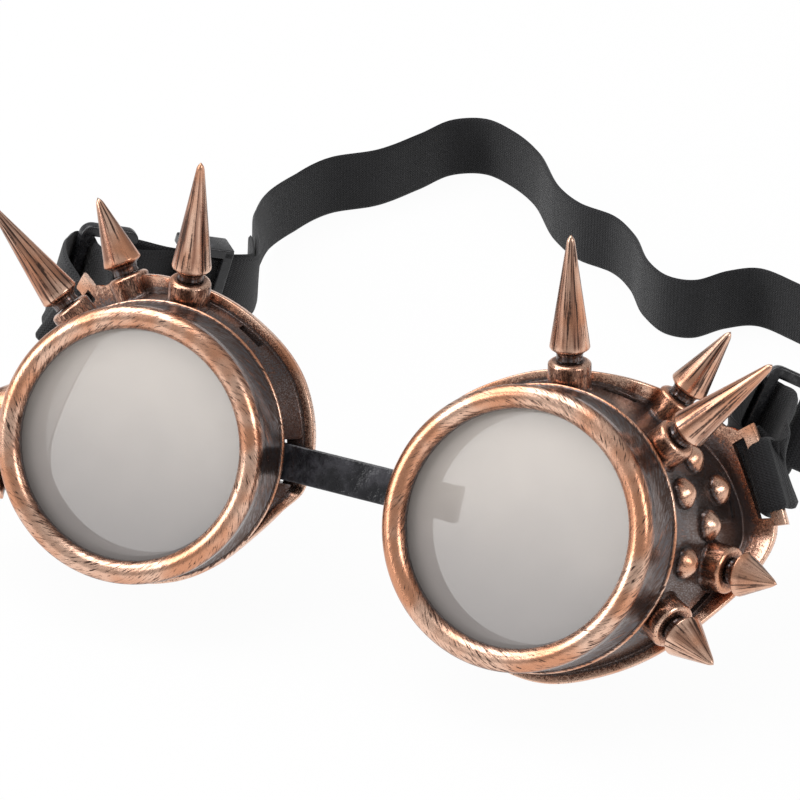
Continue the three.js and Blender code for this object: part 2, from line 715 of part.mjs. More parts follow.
// Elastic loop from the lug's bar to the ring's front bar.
function strapLoop(end) {
  const aside = LUG_BAR_WIDTH / 2 + GAP + STRAP_THICKNESS / 2;
  const inSlot = (LUG_BAR_WIDTH + LUG_SLOT_WIDTH) / 2;
  const ahead = RIM_THICKNESS / 2 + GAP + STRAP_THICKNESS / 2;
  const front = end.ring.clone().addScaledVector(end.back, -ringPitch);
  const atLug = (o, a) => end.bar.clone().addScaledVector(end.out, o).addScaledVector(end.axis, a);
  const reach = front.clone().sub(end.bar);
  const far = reach.clone().addScaledVector(end.across, -reach.dot(end.across)).normalize();
  const beside = far.clone().cross(end.across);
  beside.multiplyScalar(Math.sign(beside.dot(end.out)));
  const atRing = (b, f) =>
    front.clone().addScaledVector(beside, b * wrapRadius).addScaledVector(far, f * wrapRadius);
  const between = (t, bow) =>
    end.bar.clone().lerp(front, t).addScaledVector(end.out.clone().lerp(beside, t).normalize(), bow);
  const route = new THREE.CatmullRomCurve3(
    [
      atLug(-inSlot, -3.2 * ahead),
      atLug(-inSlot, 0),
      atLug(-0.95 * aside, 0.95 * ahead),
      atLug(0, 1.25 * ahead),
      atLug(0.95 * aside, 0.95 * ahead),
      atLug(aside, 0),
      atLug(1.2 * aside, -1.6 * ahead),
      between(0.38, LOOP_BOW_OUT),
      atRing(1.4, -2),
      atRing(1.1, -0.4),
      atRing(0.72, 0.72),
      atRing(0, 1),
      atRing(-0.72, 0.72),
      atRing(-1.1, -0.4),
      atRing(-1.9, -2),
      between(0.52, -LOOP_BOW_IN),
    ],
    true,
    "centripetal",
  );
  const lugAcross = end.along.clone().multiplyScalar(Math.sign(end.along.z));
  const frames = route.getPoints(56).slice(0, -1).map((point) => {
    const t = THREE.MathUtils.smoothstep(point.clone().sub(end.bar).dot(reach) / reach.lengthSq(), 0.05, 0.6);
    return { point, across: lugAcross.clone().lerp(end.across, t).normalize() };
  });
  return band(frames, true);
}

const ends = { left: strapEnd("left", -1), right: strapEnd("right", 1) };
for (const name of ["left", "right"]) {
  goggles.add(named(`strap_loop_${name}`, strapLoop(ends[name]), elastic()));
  goggles.add(named(`strap_ring_${name}`, strapRing(ends[name]), plastic()));
}

// Middle line of the long strap, from the left ring's rear bar to the right one's.
const rearBar = (end) => end.ring.clone().addScaledVector(end.back, ringPitch);
const strapLine = new THREE.CatmullRomCurve3(
  [
    rearBar(ends.left),
    rearBar(ends.left).addScaledVector(ends.left.back, STRAP_WIDTH / 2),
    ...STRAP_ROUTE.map((place) => vec(...place)),
    rearBar(ends.right).addScaledVector(ends.right.back, STRAP_WIDTH / 2),
    rearBar(ends.right),
  ],
  false,
  "centripetal",
);
const strapLength = strapLine.getLength();

// Frame of the strap's middle line at a distance from the left ring.
function strapFrame(distance) {
  const u = THREE.MathUtils.clamp(distance / strapLength, 0, 1);
  const point = strapLine.getPointAt(u);
  point.z = Math.max(point.z, STRAP_WIDTH / 2);
  const along = strapLine.getTangentAt(u);
  const fromLeft = 1 - THREE.MathUtils.smoothstep(distance, 0, STRAP_TURN);
  const fromRight = 1 - THREE.MathUtils.smoothstep(strapLength - distance, 0, STRAP_TURN);
  const across = vec(0, 0, 1)
    .lerp(ends.left.across, fromLeft)
    .lerp(ends.right.across, fromRight);
  across.addScaledVector(along, -across.dot(along)).normalize();
  return { point, along, across, normal: across.clone().cross(along) };
}

// Ribbon: free tail, round the left bar, along the whole route, round the right bar, sewn tail.
function headStrap() {
  const spread = (s) => {
    const ease = THREE.MathUtils.smoothstep(s, STRAP_STEP / 4, STRAP_EASE / 2);
    return layerOffset + (wrapRadius - layerOffset) * (1 - ease);
  };
  const layer = (distance, sign, offset) => {
    const { point, across, normal } = strapFrame(distance);
    return { point: point.addScaledVector(normal, sign * offset), across };
  };
  const frames = [];
  const wrap = (distance, sign) => {
    for (let i = 1; i < 8; i += 1) {
      const a = (Math.PI * i) / 8;
      const { point, along, across, normal } = strapFrame(distance);
      const toFront = distance > 0 ? 1 : -1;
      point.addScaledVector(normal, sign * wrapRadius * Math.cos(a));
      point.addScaledVector(along, toFront * wrapRadius * Math.sin(a));
      frames.push({ point, across });
    }
  };
  const sewn = STRAP_TAIL_FIXED + STRAP_STEP;
  for (let s = STRAP_TAIL_FREE; s > 0; s -= STRAP_STEP) frames.push(layer(s, 1, spread(s)));
  wrap(0, 1);
  for (let s = 0; s < strapLength; s += STRAP_STEP) {
    const rest = strapLength - s;
    const left = 1 - THREE.MathUtils.smoothstep(s, STRAP_TAIL_FREE, STRAP_TAIL_FREE + STRAP_EASE);
    const right = 1 - THREE.MathUtils.smoothstep(rest, sewn, sewn + STRAP_EASE);
    frames.push(layer(s, -1, Math.max(left * spread(s), right * spread(rest))));
  }
  wrap(strapLength, -1);
  for (let rest = STRAP_STEP; rest <= STRAP_TAIL_FIXED; rest += STRAP_STEP) {
    frames.push(layer(strapLength - rest, 1, spread(rest)));
  }
  return band(frames, false);
}
goggles.add(named("head_strap", headStrap(), elastic()));

// Slider: two bars outside the two layers, one bar inside, joined by rails along the strap's edges.
function strapSlider() {
  const { point, along, across, normal } = strapFrame(SLIDER_PLACE);
  const halfAcross = STRAP_WIDTH / 2 + RING_SIDE_PLAY;
  const halfWindow = layerOffset + STRAP_THICKNESS / 2 + SLIDER_PLAY;
  const thickness = 2 * (halfWindow + SLIDER_BAR_THICKNESS);
  const width = 2 * (halfAcross + SLIDER_RAIL);
  const axes = [along, across, normal];
  const block = (a, b, c, sizes) =>
    solid(
      orientedBox(
        point.clone().addScaledVector(along, a).addScaledVector(across, b).addScaledVector(normal, c),
        sizes,
        axes,
      ),
    );
  const level = halfWindow + SLIDER_BAR_THICKNESS / 2;
  let body = block(0, 0, level, [SLIDER_MIDDLE_BAR, width, SLIDER_BAR_THICKNESS]);
  for (const s of [-1, 1]) {
    const rail = halfAcross + SLIDER_RAIL / 2;
    body = body.add(block(0, s * rail, 0, [SLIDER_LENGTH, SLIDER_RAIL, thickness]));
    const bar = (SLIDER_LENGTH - SLIDER_BAR) / 2;
    body = body.add(block(s * bar, 0, -level, [SLIDER_BAR, width, SLIDER_BAR_THICKNESS]));
  }
  return toGeometry(body);
}
goggles.add(named("strap_slider", strapSlider(), plastic()));

// Origin at the middle of the box that holds the goggles, on the table.
goggles.updateMatrixWorld(true);
const box = new THREE.Box3().setFromObject(goggles, true);
goggles.position.set(-(box.min.x + box.max.x) / 2, -(box.min.y + box.max.y) / 2, -box.min.z);

export default goggles;
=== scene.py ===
import json
import bmesh
import bpy
import numpy as np
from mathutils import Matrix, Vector


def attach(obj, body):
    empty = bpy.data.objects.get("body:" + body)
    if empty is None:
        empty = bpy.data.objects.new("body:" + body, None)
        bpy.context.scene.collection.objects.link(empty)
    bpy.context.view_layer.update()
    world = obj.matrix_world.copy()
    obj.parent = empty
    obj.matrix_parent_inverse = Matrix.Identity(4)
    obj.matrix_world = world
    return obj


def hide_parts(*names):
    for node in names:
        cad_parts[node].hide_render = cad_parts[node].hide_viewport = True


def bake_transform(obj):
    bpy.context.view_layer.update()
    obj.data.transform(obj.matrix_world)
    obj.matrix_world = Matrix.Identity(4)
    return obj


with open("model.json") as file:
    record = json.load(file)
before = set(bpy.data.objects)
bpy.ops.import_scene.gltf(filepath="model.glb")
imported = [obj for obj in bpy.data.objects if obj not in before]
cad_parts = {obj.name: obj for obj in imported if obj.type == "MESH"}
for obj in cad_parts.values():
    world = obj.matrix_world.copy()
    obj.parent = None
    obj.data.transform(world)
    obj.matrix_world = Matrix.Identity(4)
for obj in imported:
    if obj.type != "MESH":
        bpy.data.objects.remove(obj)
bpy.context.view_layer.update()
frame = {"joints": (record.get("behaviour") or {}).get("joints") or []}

# Photographer's table: white card under the goggles, large soft lamps over it, and a long lens that
# looks down on them from the viewer's right. The goggles lie on the card as they were put down.
joints = {joint["name"]: joint for joint in frame["joints"]}
hands = {"left": -1, "right": 1}
lens_centre = {side: np.array(joints[f"bezel_turn_{side}"]["pos_m"]) for side in hands}
look_at = (lens_centre["left"] + lens_centre["right"]) / 2
azimuth, elevation = np.radians((23.04, 31.16))
towards_camera = np.array(
    (
        np.sin(azimuth) * np.cos(elevation),
        -np.cos(azimuth) * np.cos(elevation),
        np.sin(elevation),
    )
)
camera_distance = 0.9

camera = bpy.data.objects.new("camera", bpy.data.cameras.new("camera"))
camera.location = look_at + camera_distance * towards_camera
camera.rotation_euler = Vector(-towards_camera).to_track_quat("-Z", "Y").to_euler()
camera.data.sensor_width = 36
camera.data.lens = 204.5
camera.data.shift_x = 0.103
camera.data.shift_y = 0.108
bpy.context.scene.collection.objects.link(camera)
bpy.context.scene.camera = camera
bpy.context.scene.view_settings.view_transform = "Standard"


class Value:
    """A socket in a material. Arithmetic on it adds Math nodes, and node() adds any other node."""

    def __init__(self, tree, socket=None):
        self.tree, self.socket = tree, socket

    def node(self, kind, settings=None, sockets=None, output=0):
        """A node of this kind: its settings first, then the value or link of each socket."""
        made = self.tree.nodes.new(kind)
        for key, setting in (settings or {}).items():
            setattr(made, key, setting)
        for key, value in (sockets or {}).items():
            if isinstance(value, Value):
                self.tree.links.new(value.socket, made.inputs[key])
            else:
                made.inputs[key].default_value = value
        return Value(self.tree, made.outputs[output] if made.outputs else None)

    def math(self, operation, first, second=0.0):
        """A Math node with this operation on one or two values."""
        return self.node("ShaderNodeMath", {"operation": operation}, {0: first, 1: second})

    def __add__(self, other):
        return self.math("ADD", self, other)

    def __sub__(self, other):
        return self.math("SUBTRACT", self, other)

    def __rsub__(self, other):
        return self.math("SUBTRACT", other, self)

    def __mul__(self, other):
        return self.math("MULTIPLY", self, other)

    __radd__ = __add__
    __rmul__ = __mul__

    def larger(self, other):
        """The larger of the two values."""
        return self.math("MAXIMUM", self, other)

    def wave(self):
        """The sine of this value in radians."""
        return self.math("SINE", self)

    def rise(self, low, high):
        """0 below low, 1 above high, and a smooth step between them."""
        steps = {"interpolation_type": "SMOOTHSTEP"}
        return self.node("ShaderNodeMapRange", steps, {0: self, 1: low, 2: high})

    def tint(self, first, second):
        """The first colour where this value is 0, the second where it is 1."""
        return self.node("ShaderNodeMix", {"data_type": "RGBA"}, {0: self, 6: first, 7: second}, 2)

    def stretch(self, sizes):
        """This vector with each of its directions multiplied."""
        return self.node("ShaderNodeVectorMath", {"operation": "MULTIPLY"}, {0: self, 1: sizes})

    def grain(self, scale, detail=3.0, rough=0.55):
        """Cloudy noise of about 0.3 to 0.7 over this vector."""
        sockets = {"Vector": self, "Scale": scale, "Detail": detail, "Roughness": rough}
        return self.node("ShaderNodeTexNoise", None, sockets)

    def bump(self, depth):
        """A bent normal for a height of this value times a depth in metres."""
        return self.node("ShaderNodeBump", None, {"Height": self, "Distance": depth})


def bare_material(name):
    """A new material with no nodes, as the value that its nodes are added from."""
    material = bpy.data.materials.new(name)
    material.use_nodes = True
    material.node_tree.nodes.clear()
    return material, Value(material.node_tree)


def lay_on(paint, sockets):
    """The material's surface: one principled shader with these values and links."""
    surface = paint.node("ShaderNodeBsdfPrincipled", None, sockets)
    paint.node("ShaderNodeOutputMaterial", None, {"Surface": surface})


card, paint = bare_material("white_card")
seen = paint.node("ShaderNodeLightPath", output="Is Camera Ray")
mirrored = paint.node("ShaderNodeLightPath", output="Is Glossy Ray")
looked_through = paint.node("ShaderNodeLightPath", output="Is Transmission Ray")
card_grain = paint.node("ShaderNodeTexCoord", output="Object").grain(60.0)
card_colour = card_grain.tint((0.72, 0.72, 0.72, 1), (0.76, 0.76, 0.76, 1))
matt = paint.node("ShaderNodeBsdfDiffuse", None, {"Color": card_colour})
bright = paint.node("ShaderNodeEmission", None, {"Color": (1, 1, 1, 1), "Strength": 1.0})
white_share = 0.96
share = seen.larger(mirrored).larger(looked_through) * white_share
surface = paint.node("ShaderNodeMixShader", None, {0: share, 1: matt, 2: bright})
paint.node("ShaderNodeOutputMaterial", None, {"Surface": surface})

table_mesh = bpy.data.meshes.new("table")
table_half = 6.0
table_corners = table_half * np.array(((-1, -1, 0), (1, -1, 0), (1, 1, 0), (-1, 1, 0)))
table_mesh.from_pydata(table_corners.tolist(), [], [(0, 1, 2, 3)])
table_mesh.materials.append(card)
table = bpy.data.objects.new("table", table_mesh)
bpy.context.scene.collection.objects.link(table)

studio = bpy.data.worlds.new("studio")
studio.use_nodes = True
backdrop = studio.node_tree.nodes["Background"]
backdrop.inputs["Color"].default_value = (1, 1, 1, 1)
backdrop.inputs["Strength"].default_value = 0.42
bpy.context.scene.world = studio

# Name, place, side length in metres and watts of each lamp
for lamp_name, place, size, power in (
    ("lamp_over", (-0.45, 0.05, 1.15), 1.1, 12.5),
    ("lamp_front", (-1.1, -0.8, 0.7), 0.9, 11.0),
    ("lamp_side", (1.1, -0.3, 0.7), 0.5, 4.0),
):
    lamp = bpy.data.objects.new(lamp_name, bpy.data.lights.new(lamp_name, "AREA"))
    lamp.data.size = size
    lamp.data.energy = power
    lamp.location = place
    lamp.rotation_euler = (Vector(look_at) - Vector(place)).to_track_quat("-Z", "Y").to_euler()
    bpy.context.scene.collection.objects.link(lamp)

# Eyecups: hard plastic mouldings plated antique copper and rubbed back, with a threaded neck at the
# front, a flared wall, a rolled rear rim, five spike collars, five studs, vents and strap slots.
cup_axes = {}
for side, hand in hands.items():
    forwards = np.array(joints[f"bezel_turn_{side}"]["axis"])
    upwards = hand * np.array(joints[f"bridge_flex_{side}"]["axis"])
    cup_axes[side] = np.stack([hand * np.cross(upwards, forwards), upwards, forwards])


def in_cup(side, points):
    """Millimetres in a cup, as (to the temple, up, forwards) from the lens centre, in table metres."""
    return lens_centre[side] + 0.001 * points @ cup_axes[side]


def on_clock(angle, radius, z):
    """A point of a cup from its clock angle in degrees, its radius and its place on the lens axis."""
    turn = np.radians(angle)
    return np.stack(np.broadcast_arrays(radius * np.sin(turn), radius * np.cos(turn), z), -1)


def grid_faces(columns, rows, round_columns=True, round_rows=True):
    """Quads between the neighbours of a grid; a round direction joins its last line to its first."""
    i = np.arange(columns if round_columns else columns - 1)[:, None]
    j = np.arange(rows if round_rows else rows - 1)[None, :]
    next_i, next_j = (i + 1) % columns, (j + 1) % rows
    corners = (i * rows + j, next_i * rows + j, next_i * rows + next_j, i * rows + next_j)
    return np.stack(corners, -1).reshape(-1, 4)


def skin(points, marks=None, round_columns=True, round_rows=True):
    """A surface over a grid of points: the points, the quads between them and their marks."""
    return points, grid_faces(*points.shape[:2], round_columns, round_rows), marks or {}


def put_piece(name, parts, material):
    """One mesh from closed surfaces. Each part is (points, quads, marks); points that fall together
    are merged, so poles and seams close, and the faces are turned outwards."""
    points, faces, marks, count = [], [], {}, 0
    for part_points, part_faces, part_marks in parts:
        flat = part_points.reshape(-1, 3)
        _, first, merged = np.unique(
            np.round(flat, 8), axis=0, return_index=True, return_inverse=True
        )
        points.append(flat[first])
        faces.append(merged.reshape(-1)[part_faces] + count)
        for key, values in part_marks.items():
            marks.setdefault(key, []).append(values.reshape(len(flat), -1)[first])
        count += len(first)
    faces = np.concatenate(faces)
    pinched = faces == np.roll(faces, -1, axis=1)
    once = pinched.sum(1) == 1
    triangles = [np.delete(faces[once & pinched[:, k]], k, axis=1) for k in range(4)]
    quads = faces[~pinched.any(1)]
    mesh = bpy.data.meshes.new(name)
    shown_faces = quads.tolist() + np.concatenate(triangles).tolist()
    mesh.from_pydata(np.concatenate(points).tolist(), [], shown_faces)
    for key, values in marks.items():
        values = np.concatenate(values)
        kind, field = ("FLOAT", "value") if values.shape[1] == 1 else ("FLOAT_VECTOR", "vector")
        mark = mesh.attributes.new(key, kind, "POINT")
        mark.data.foreach_set(field, values.astype(np.float32).ravel())
    turned = bmesh.new()
    turned.from_mesh(mesh)
    bmesh.ops.recalc_face_normals(turned, faces=turned.faces)
    turned.to_mesh(mesh)
    turned.free()
    mesh.shade_smooth()
    mesh.set_sharp_from_angle(angle=np.radians(42))
    mesh.materials.append(material)
    piece = bpy.data.objects.new(name, mesh)
    bpy.context.scene.collection.objects.link(piece)
    return piece


# Rows that each eased corner of an outline gets
corner_rows = 7


def rounded(corners, ease):
    """A closed outline with corners (..., n, 2). Each corner with an ease becomes a quadratic curve
    from that far before it to that far after it. Gives the rows and each corner's first row."""
    before = np.roll(corners, 1, -2) - corners
    after = np.roll(corners, -1, -2) - corners
    long_before = np.linalg.norm(before, axis=-1, keepdims=True) + 1e-9
    long_after = np.linalg.norm(after, axis=-1, keepdims=True) + 1e-9
    s = np.linspace(0, 1, corner_rows)[:, None]
    rows, starts, count = [], [], 0
    for k, far in enumerate(ease):
        here = corners[..., k : k + 1, :]
        if far:
            span = slice(k, k + 1)
            back = np.minimum(far / long_before, 0.45)[..., span, :] * before[..., span, :]
            on = np.minimum(far / long_after, 0.45)[..., span, :] * after[..., span, :]
            here = here + (1 - s) ** 2 * back + s**2 * on
        starts.append(count)
        count += here.shape[-2]
        rows.append(here)
    return np.concatenate(rows, -2), starts


# Millimetres: the air between pieces, then neck, shoulder, wall and thread, heights from the lip
air = 0.3
neck_front, neck_radius, neck_bore = -6.3, 24.95, 22.95
shoulder, shoulder_radius = -14.35, 27.4
wall_thickness, rim_thickness = 1.9, 2.4
thread_middle, thread_lead, thread_height = (neck_front + shoulder) / 2, 6.0, 0.85
ridge_root, ridge_crest, ridge_turns = 1.5, 0.6, 0.17

# Clock angle from the top to the temple, depth behind the lip, reach past the shoulder, width
rim_stations = np.array(
    (
        (0, 25.5, 4.8, 2.4),
        (16, 29.5, 6, 3.4),
        (31, 38, 7.2, 5),
        (50, 45, 9.2, 6),
        (67, 48, 10.4, 6.6),
        (80, 48, 11, 6.6),
        (90, 44, 9.9, 5.6),
        (110, 33.5, 6.7, 2.8),
        (128, 27.6, 5, 2.4),
        (150, 25.5, 3.6, 2.2),
        (175, 24, 3.6, 2.2),
        (195, 21.5, 2.4, 1.8),
        (215, 18.4, 1.5, 1.4),
        (235, 17.4, 1.5, 1.4),
        (252, 18, 3.2, 2),
        (262, 20.3, 5.3, 2.3),
        (300, 22, 5.9, 2.3),
        (330, 23.5, 4.5, 2.3),
    )
)
# Clock angle and depth of each stud
studs = ((49.8, 31), (64, 21.6), (63.3, 37.6), (77, 30.4), (92, 21.6))
# Name, clock angle, depth of the foot, lean to the front, cone length, collar height, base radius
spikes = (
    ("top", -3.1, 19.2, 20.8, 23.4, 5.3, 4.1),
    ("crown", 29.4, 33.6, 7.3, 14.4, 5.4, 4.1),
    ("brow", 45.2, 19, 13, 23, 5.3, 4.1),
    ("temple", 92, 32.4, 14.6, 8.2, 5, 4.6),
    ("cheek", 114.2, 19.7, 21.2, 10, 4.7, 4.6),
)
# Vents, strap lug and bridge slot: clock angles, half widths and places
vents, vent_half = (14, 108, 180, 327), 3.0
lug_angle, lug_slot_radius, lug_slot_half, lug_edge = 62.0, 35.4, 1.35, 39.55
lug_slot_turn, lug_turn = 12.9, 15.0
bridge_slot_from, bridge_slot_to = 263.2, 281.3
bridge_slot_front, bridge_slot_back = -15.4, -18.8
# Two score lines on the wall beside the lug: places before the rim, slant a degree, width and depth
score_places, score_slant, score_width, score_depth = (1.5, 3.1), 0.08, 0.34, 0.42
# A shallow hollow round each stud: radius, width and depth
hollow_radius, hollow_width, hollow_depth = 3.5, 0.8, 0.12
# How far collars and studs go into the wall, and how close the brush strokes of a cup lie
post_sunk, cup_brush = 0.9, 1.6


def cubic(t, start, end, start_slope, end_slope):
    """Cubic from start to end for t from 0 to 1, with these slopes at its ends."""
    return (
        start * (2 * t**3 - 3 * t**2 + 1)
        + end * (3 * t**2 - 2 * t**3)
        + start_slope * (t**3 - 2 * t**2 + t)
        + end_slope * (t**3 - t**2)
    )


def rim_value(angle, column):
    """One column of the rim stations at any clock angle: cubic pieces that join with equal slopes."""
    around = np.arange(-2, len(rim_stations) + 2)
    clock = np.take(rim_stations[:, 0], around, mode="wrap") + 360 * (around // len(rim_stations))
    value = np.take(rim_stations[:, column], around, mode="wrap")
    slope = (np.roll(value, -1) - np.roll(value, 1)) / (np.roll(clock, -1) - np.roll(clock, 1))
    turn = np.mod(angle, 360)
    i = np.searchsorted(clock, turn, side="right") - 1
    span = clock[i + 1] - clock[i]
    t = (turn - clock[i]) / span
    return cubic(t, value[i], value[i + 1], slope[i] * span, slope[i + 1] * span)


def wall_end(angle):
    """Outer radius of the wall where it meets the rim: the rim's outside less its width."""
    return shoulder_radius + rim_value(angle, 2) - rim_value(angle, 3)


def wall_radius(angle, depth):
    """Outer radius of the wall: it flares in a straight line from the shoulder to the rim."""
    end = rim_value(angle, 1) - rim_thickness
    t = np.clip((depth + shoulder) / np.maximum(end + shoulder, air), 0, 1)
    return shoulder_radius + (wall_end(angle) - shoulder_radius) * t


def thread_relief(angle, z, first, last, root, crest):
    """Height of the two-start thread over its cylinder: a ridge with sloped flanks that climbs one
    lead a turn, between two counts of turns, and runs out in a fiftieth of a turn."""
    relief = np.zeros(np.broadcast(angle, z).shape)
    for start in (-1.5, -1, -0.5, 0, 0.5, 1):
        turn = start - angle / 360
        away = np.abs(z - thread_middle - thread_lead * turn)
        flank = np.clip((root / 2 - away) / ((root - crest) / 2), 0, 1)
        ends = np.clip((turn - first) / 0.02, 0, 1) * np.clip((last - turn) / 0.02, 0, 1)
        relief = np.maximum(relief, flank * ends)
    return thread_height * relief


def hump(x, width):
    """A bell of height 1 at 0, which falls to about a third at the width."""
    return np.exp(-((x / width) ** 2))


def nearby(degrees, whole, none):
    """1 up to so many degrees from a place, 0 from so many on, and a straight fall between them."""
    return np.clip((none - degrees) / (none - whole), 0, 1)


def cup_shell(hand):
    """Closed skin of a cup over clock angle and outline: neck, shoulder, flared wall, rim, and back
    along the inside. Vents and slots are holes through it whose sides join the two skins."""
    lug_ends = np.array((lug_slot_turn, lug_turn, lug_turn + 0.4))
    edges = [lug_angle - lug_ends, lug_angle + lug_ends, (bridge_slot_from, bridge_slot_to)]
    for vent in vents:
        half = np.degrees(vent_half / wall_end(np.array(vent)))
        edges.append((vent - half, vent + half))
    edges = np.concatenate(edges)
    even = np.arange(0, 360, 1.0)
    even = even[np.abs(even[:, None] - edges).min(1) > 0.35]
    angle = np.sort(np.concatenate([even, edges]))
    turn_from_lug = angle - lug_angle
    depth, end = rim_value(angle, 1), wall_end(angle)
    rim = shoulder_radius + rim_value(angle, 2)
    at_lug = np.abs(turn_from_lug) <= lug_turn
    straight = np.cos(np.radians(np.clip(turn_from_lug, -20, 20)))
    rim = np.where(at_lug, np.maximum(rim, lug_edge / straight), rim)
    near_lug = nearby(np.abs(turn_from_lug), 14, 22)
    rim_front = rim_thickness - depth
    from_bridge = np.abs(angle - (bridge_slot_from + bridge_slot_to) / 2)
    near_bridge = nearby(from_bridge, 12, 24)
    slot_end = np.minimum(rim_front, bridge_slot_back - 0.25)
    rim_front = rim_front + nearby(from_bridge, 9, 12) * (slot_end - rim_front)
    wall_start = shoulder - air
    long = wall_start - rim_front
    band_front = np.minimum(rim_front + 2.3, wall_start - 0.3 * long)
    slot_start = np.minimum(bridge_slot_front, wall_start - 0.2 * long)
    band_front = band_front + near_bridge * (slot_start - band_front)
    band_back = rim_front + np.minimum(0.3, 0.2 * long)
    inside = end - wall_thickness
    flare = wall_start + 0.35 * (rim_thickness / 2 - depth - wall_start)
    seat = np.minimum(shoulder_radius - wall_thickness, inside)

    def inner_radius(z):
        """Inside of the wall at a place on the axis: neck bore, then two straight flares."""
        first = np.clip((wall_start - z) / (wall_start - flare), 0, 1)
        second = np.clip((flare - z) / (flare + depth - rim_thickness / 2), 0, 1)
        return neck_bore + (seat - neck_bore) * first + (inside - seat) * second

    outline, ease, patina = [], [], []

    def corner(radius, z, far, mark):
        """One more corner of the outline at every clock angle: its place, ease and mark of wear, which
        is painted shade above 0.95.
        """
        outline.append(np.stack(np.broadcast_arrays(radius, z, angle)[:2], -1))
        ease.append(far)
        patina.append(np.broadcast_to(mark, angle.shape))

    corner(neck_bore, neck_front, 0.3, 0.8)
    corner(neck_radius, neck_front, 0.6, 0.6)
    for z in np.linspace(neck_front - 0.8, shoulder + 0.25, 36):
        relief = thread_relief(hand * angle, z, -ridge_turns, ridge_turns, ridge_root, ridge_crest)
        corner(neck_radius + relief, z, 0, 0.75 - 0.35 * relief)
    corner(neck_radius, shoulder, 0.1, 0.9)
    corner(shoulder_radius, shoulder, 0.3, 0.55)
    from_temple = np.abs(np.mod(angle - 70 + 180, 360) - 180)
    dark = np.interp(from_temple, (0, 60, 120, 180), (0.8, 0.82, 0.76, 0.8))
    for share in np.linspace(0.03, 0.98, 54):
        z = wall_start + share * (band_front - wall_start)
        radius = wall_radius(angle, -z)
        score = 0.0
        for place in score_places:
            across = rim_front + place + score_slant * np.clip(turn_from_lug, -14, 14) - z
            length = nearby(np.abs(turn_from_lug), 12, 13.5)
            score = np.maximum(score, hump(across, score_width) * length)
        # Painted shade: the score lines and the ring round each stud are marked near-black, the shade
        # that falls in these grooves.
        hollow_and_painted_shade = 0.0
        for stud_angle, stud_depth in studs:
            aside = np.radians(angle - stud_angle) * radius
            far = np.hypot(aside, -z - stud_depth)
            hollow_and_painted_shade = np.maximum(hollow_and_painted_shade, hump(far - hollow_radius, hollow_width))
        sunk = score_depth * score + hollow_depth * hollow_and_painted_shade
        corner(radius - sunk, z, 0, dark + 0.7 * score + 0.28 * hollow_and_painted_shade)
    first_band = len(outline)
    for share in (0, 0.3, 0.7, 1):
        z = band_front + share * (band_back - band_front)
        corner(wall_radius(angle, -z), z, 0, dark + 0.08)
    corner(end, rim_front, 0.5, dark + 0.15)
    slot_in = (lug_slot_radius - lug_slot_half) / straight
    slot_out = (lug_slot_radius + lug_slot_half) / straight
    row_in = end + 0.3 * (rim - end) + near_lug * (slot_in - end - 0.3 * (rim - end))
    row_out = end + 0.65 * (rim - end) + near_lug * (slot_out - end - 0.65 * (rim - end))
    first_slot = len(outline)
    corner(row_in, rim_front, 0, 0.5)
    corner(row_out, rim_front, 0, 0.36)
    corner(rim, rim_front, 0.9, 0.12)
    corner(rim, -depth, 0.9, 0.2)
    last_slot = len(outline)
    corner(row_out, -depth, 0, 0.45)
    corner(row_in, -depth, 0, 0.55)
    corner(inside, -depth, 0.4, 0.7)
    corner(inside, rim_thickness / 2 - depth, 0, 0.85)
    last_band = len(outline)
    for share in (1, 0.7, 0.3, 0):
        z = band_front + share * (band_back - band_front)
        corner(inner_radius(z), z, 0, 0.9)
    for share in np.linspace(0.95, 0.05, 10):
        z = wall_start + share * (band_front - wall_start)
        corner(inner_radius(z), z, 0, 0.9)
    corner(neck_bore, wall_start, 0.4, 0.9)
    corner(neck_bore, 0.5 * (neck_front + shoulder), 0, 0.85)

    rows, starts = rounded(np.stack(outline, 1), ease)
    points = on_clock(angle[:, None], rows[..., 0], rows[..., 1])
    columns, count = rows.shape[:2]
    spread = np.concatenate(
        [np.repeat(mark[:, None], corner_rows if far else 1, 1) for mark, far in zip(patina, ease)], 1
    )
    steps = np.linalg.norm(np.diff(rows, axis=1, prepend=rows[:, :1]), axis=-1)
    brush = cup_brush * np.stack([points[..., 0], points[..., 1], 0.25 * np.cumsum(steps, 1)], -1)
    cells = grid_faces(columns, count).reshape(columns, count, 4)
    kept = np.ones((columns, count), bool)
    ids = np.arange(columns * count).reshape(columns, count)
    sides = []

    def hole(turn_from, turn_to, outer_rows, inner_rows):
        """Cuts both skins between two clock angles and two pairs of rows, and joins their edges."""
        c0, c1 = np.searchsorted(angle, (turn_from - 1e-6, turn_to - 1e-6))
        (a0, a1), (b0, b1) = outer_rows, inner_rows
        kept[c0:c1, a0:a1] = False
        kept[c0:c1, b0:b1] = False
        outer = (ids[c0:c1, a0], ids[c1, a0:a1], ids[c1:c0:-1, a1], ids[c0, a1:a0:-1])
        inner = (ids[c0:c1, b1], ids[c1, b1:b0:-1], ids[c1:c0:-1, b0], ids[c0, b0:b1])
        outer, inner = np.concatenate(outer), np.concatenate(inner)
        sides.append(np.stack([outer, np.roll(outer, -1), np.roll(inner, -1), inner], -1))

    band = (starts[first_band], starts[first_band + 3])
    band_inside = (starts[last_band], starts[last_band + 3])
    for vent in vents:
        half = np.degrees(vent_half / wall_end(np.array(vent)))
        hole(vent - half, vent + half, band, band_inside)
    hole(bridge_slot_from, bridge_slot_to, band, band_inside)
    slot_front = (starts[first_slot], starts[first_slot + 1])
    slot_rear = (starts[last_slot], starts[last_slot + 1])
    hole(lug_angle - lug_slot_turn, lug_angle + lug_slot_turn, slot_front, slot_rear)
    return points, np.concatenate([cells[kept], *sides]), spread, brush


def all_round(columns):
    """Equal steps of a full turn in degrees, as a column."""
    return np.linspace(0, 360, columns, endpoint=False)[:, None]


def turned_grid(profile, columns):
    """A profile (n, 2) of radius and height turned about the height, as a grid (columns, n, 3)."""
    return on_clock(all_round(columns), profile[:, 0], profile[:, 1])


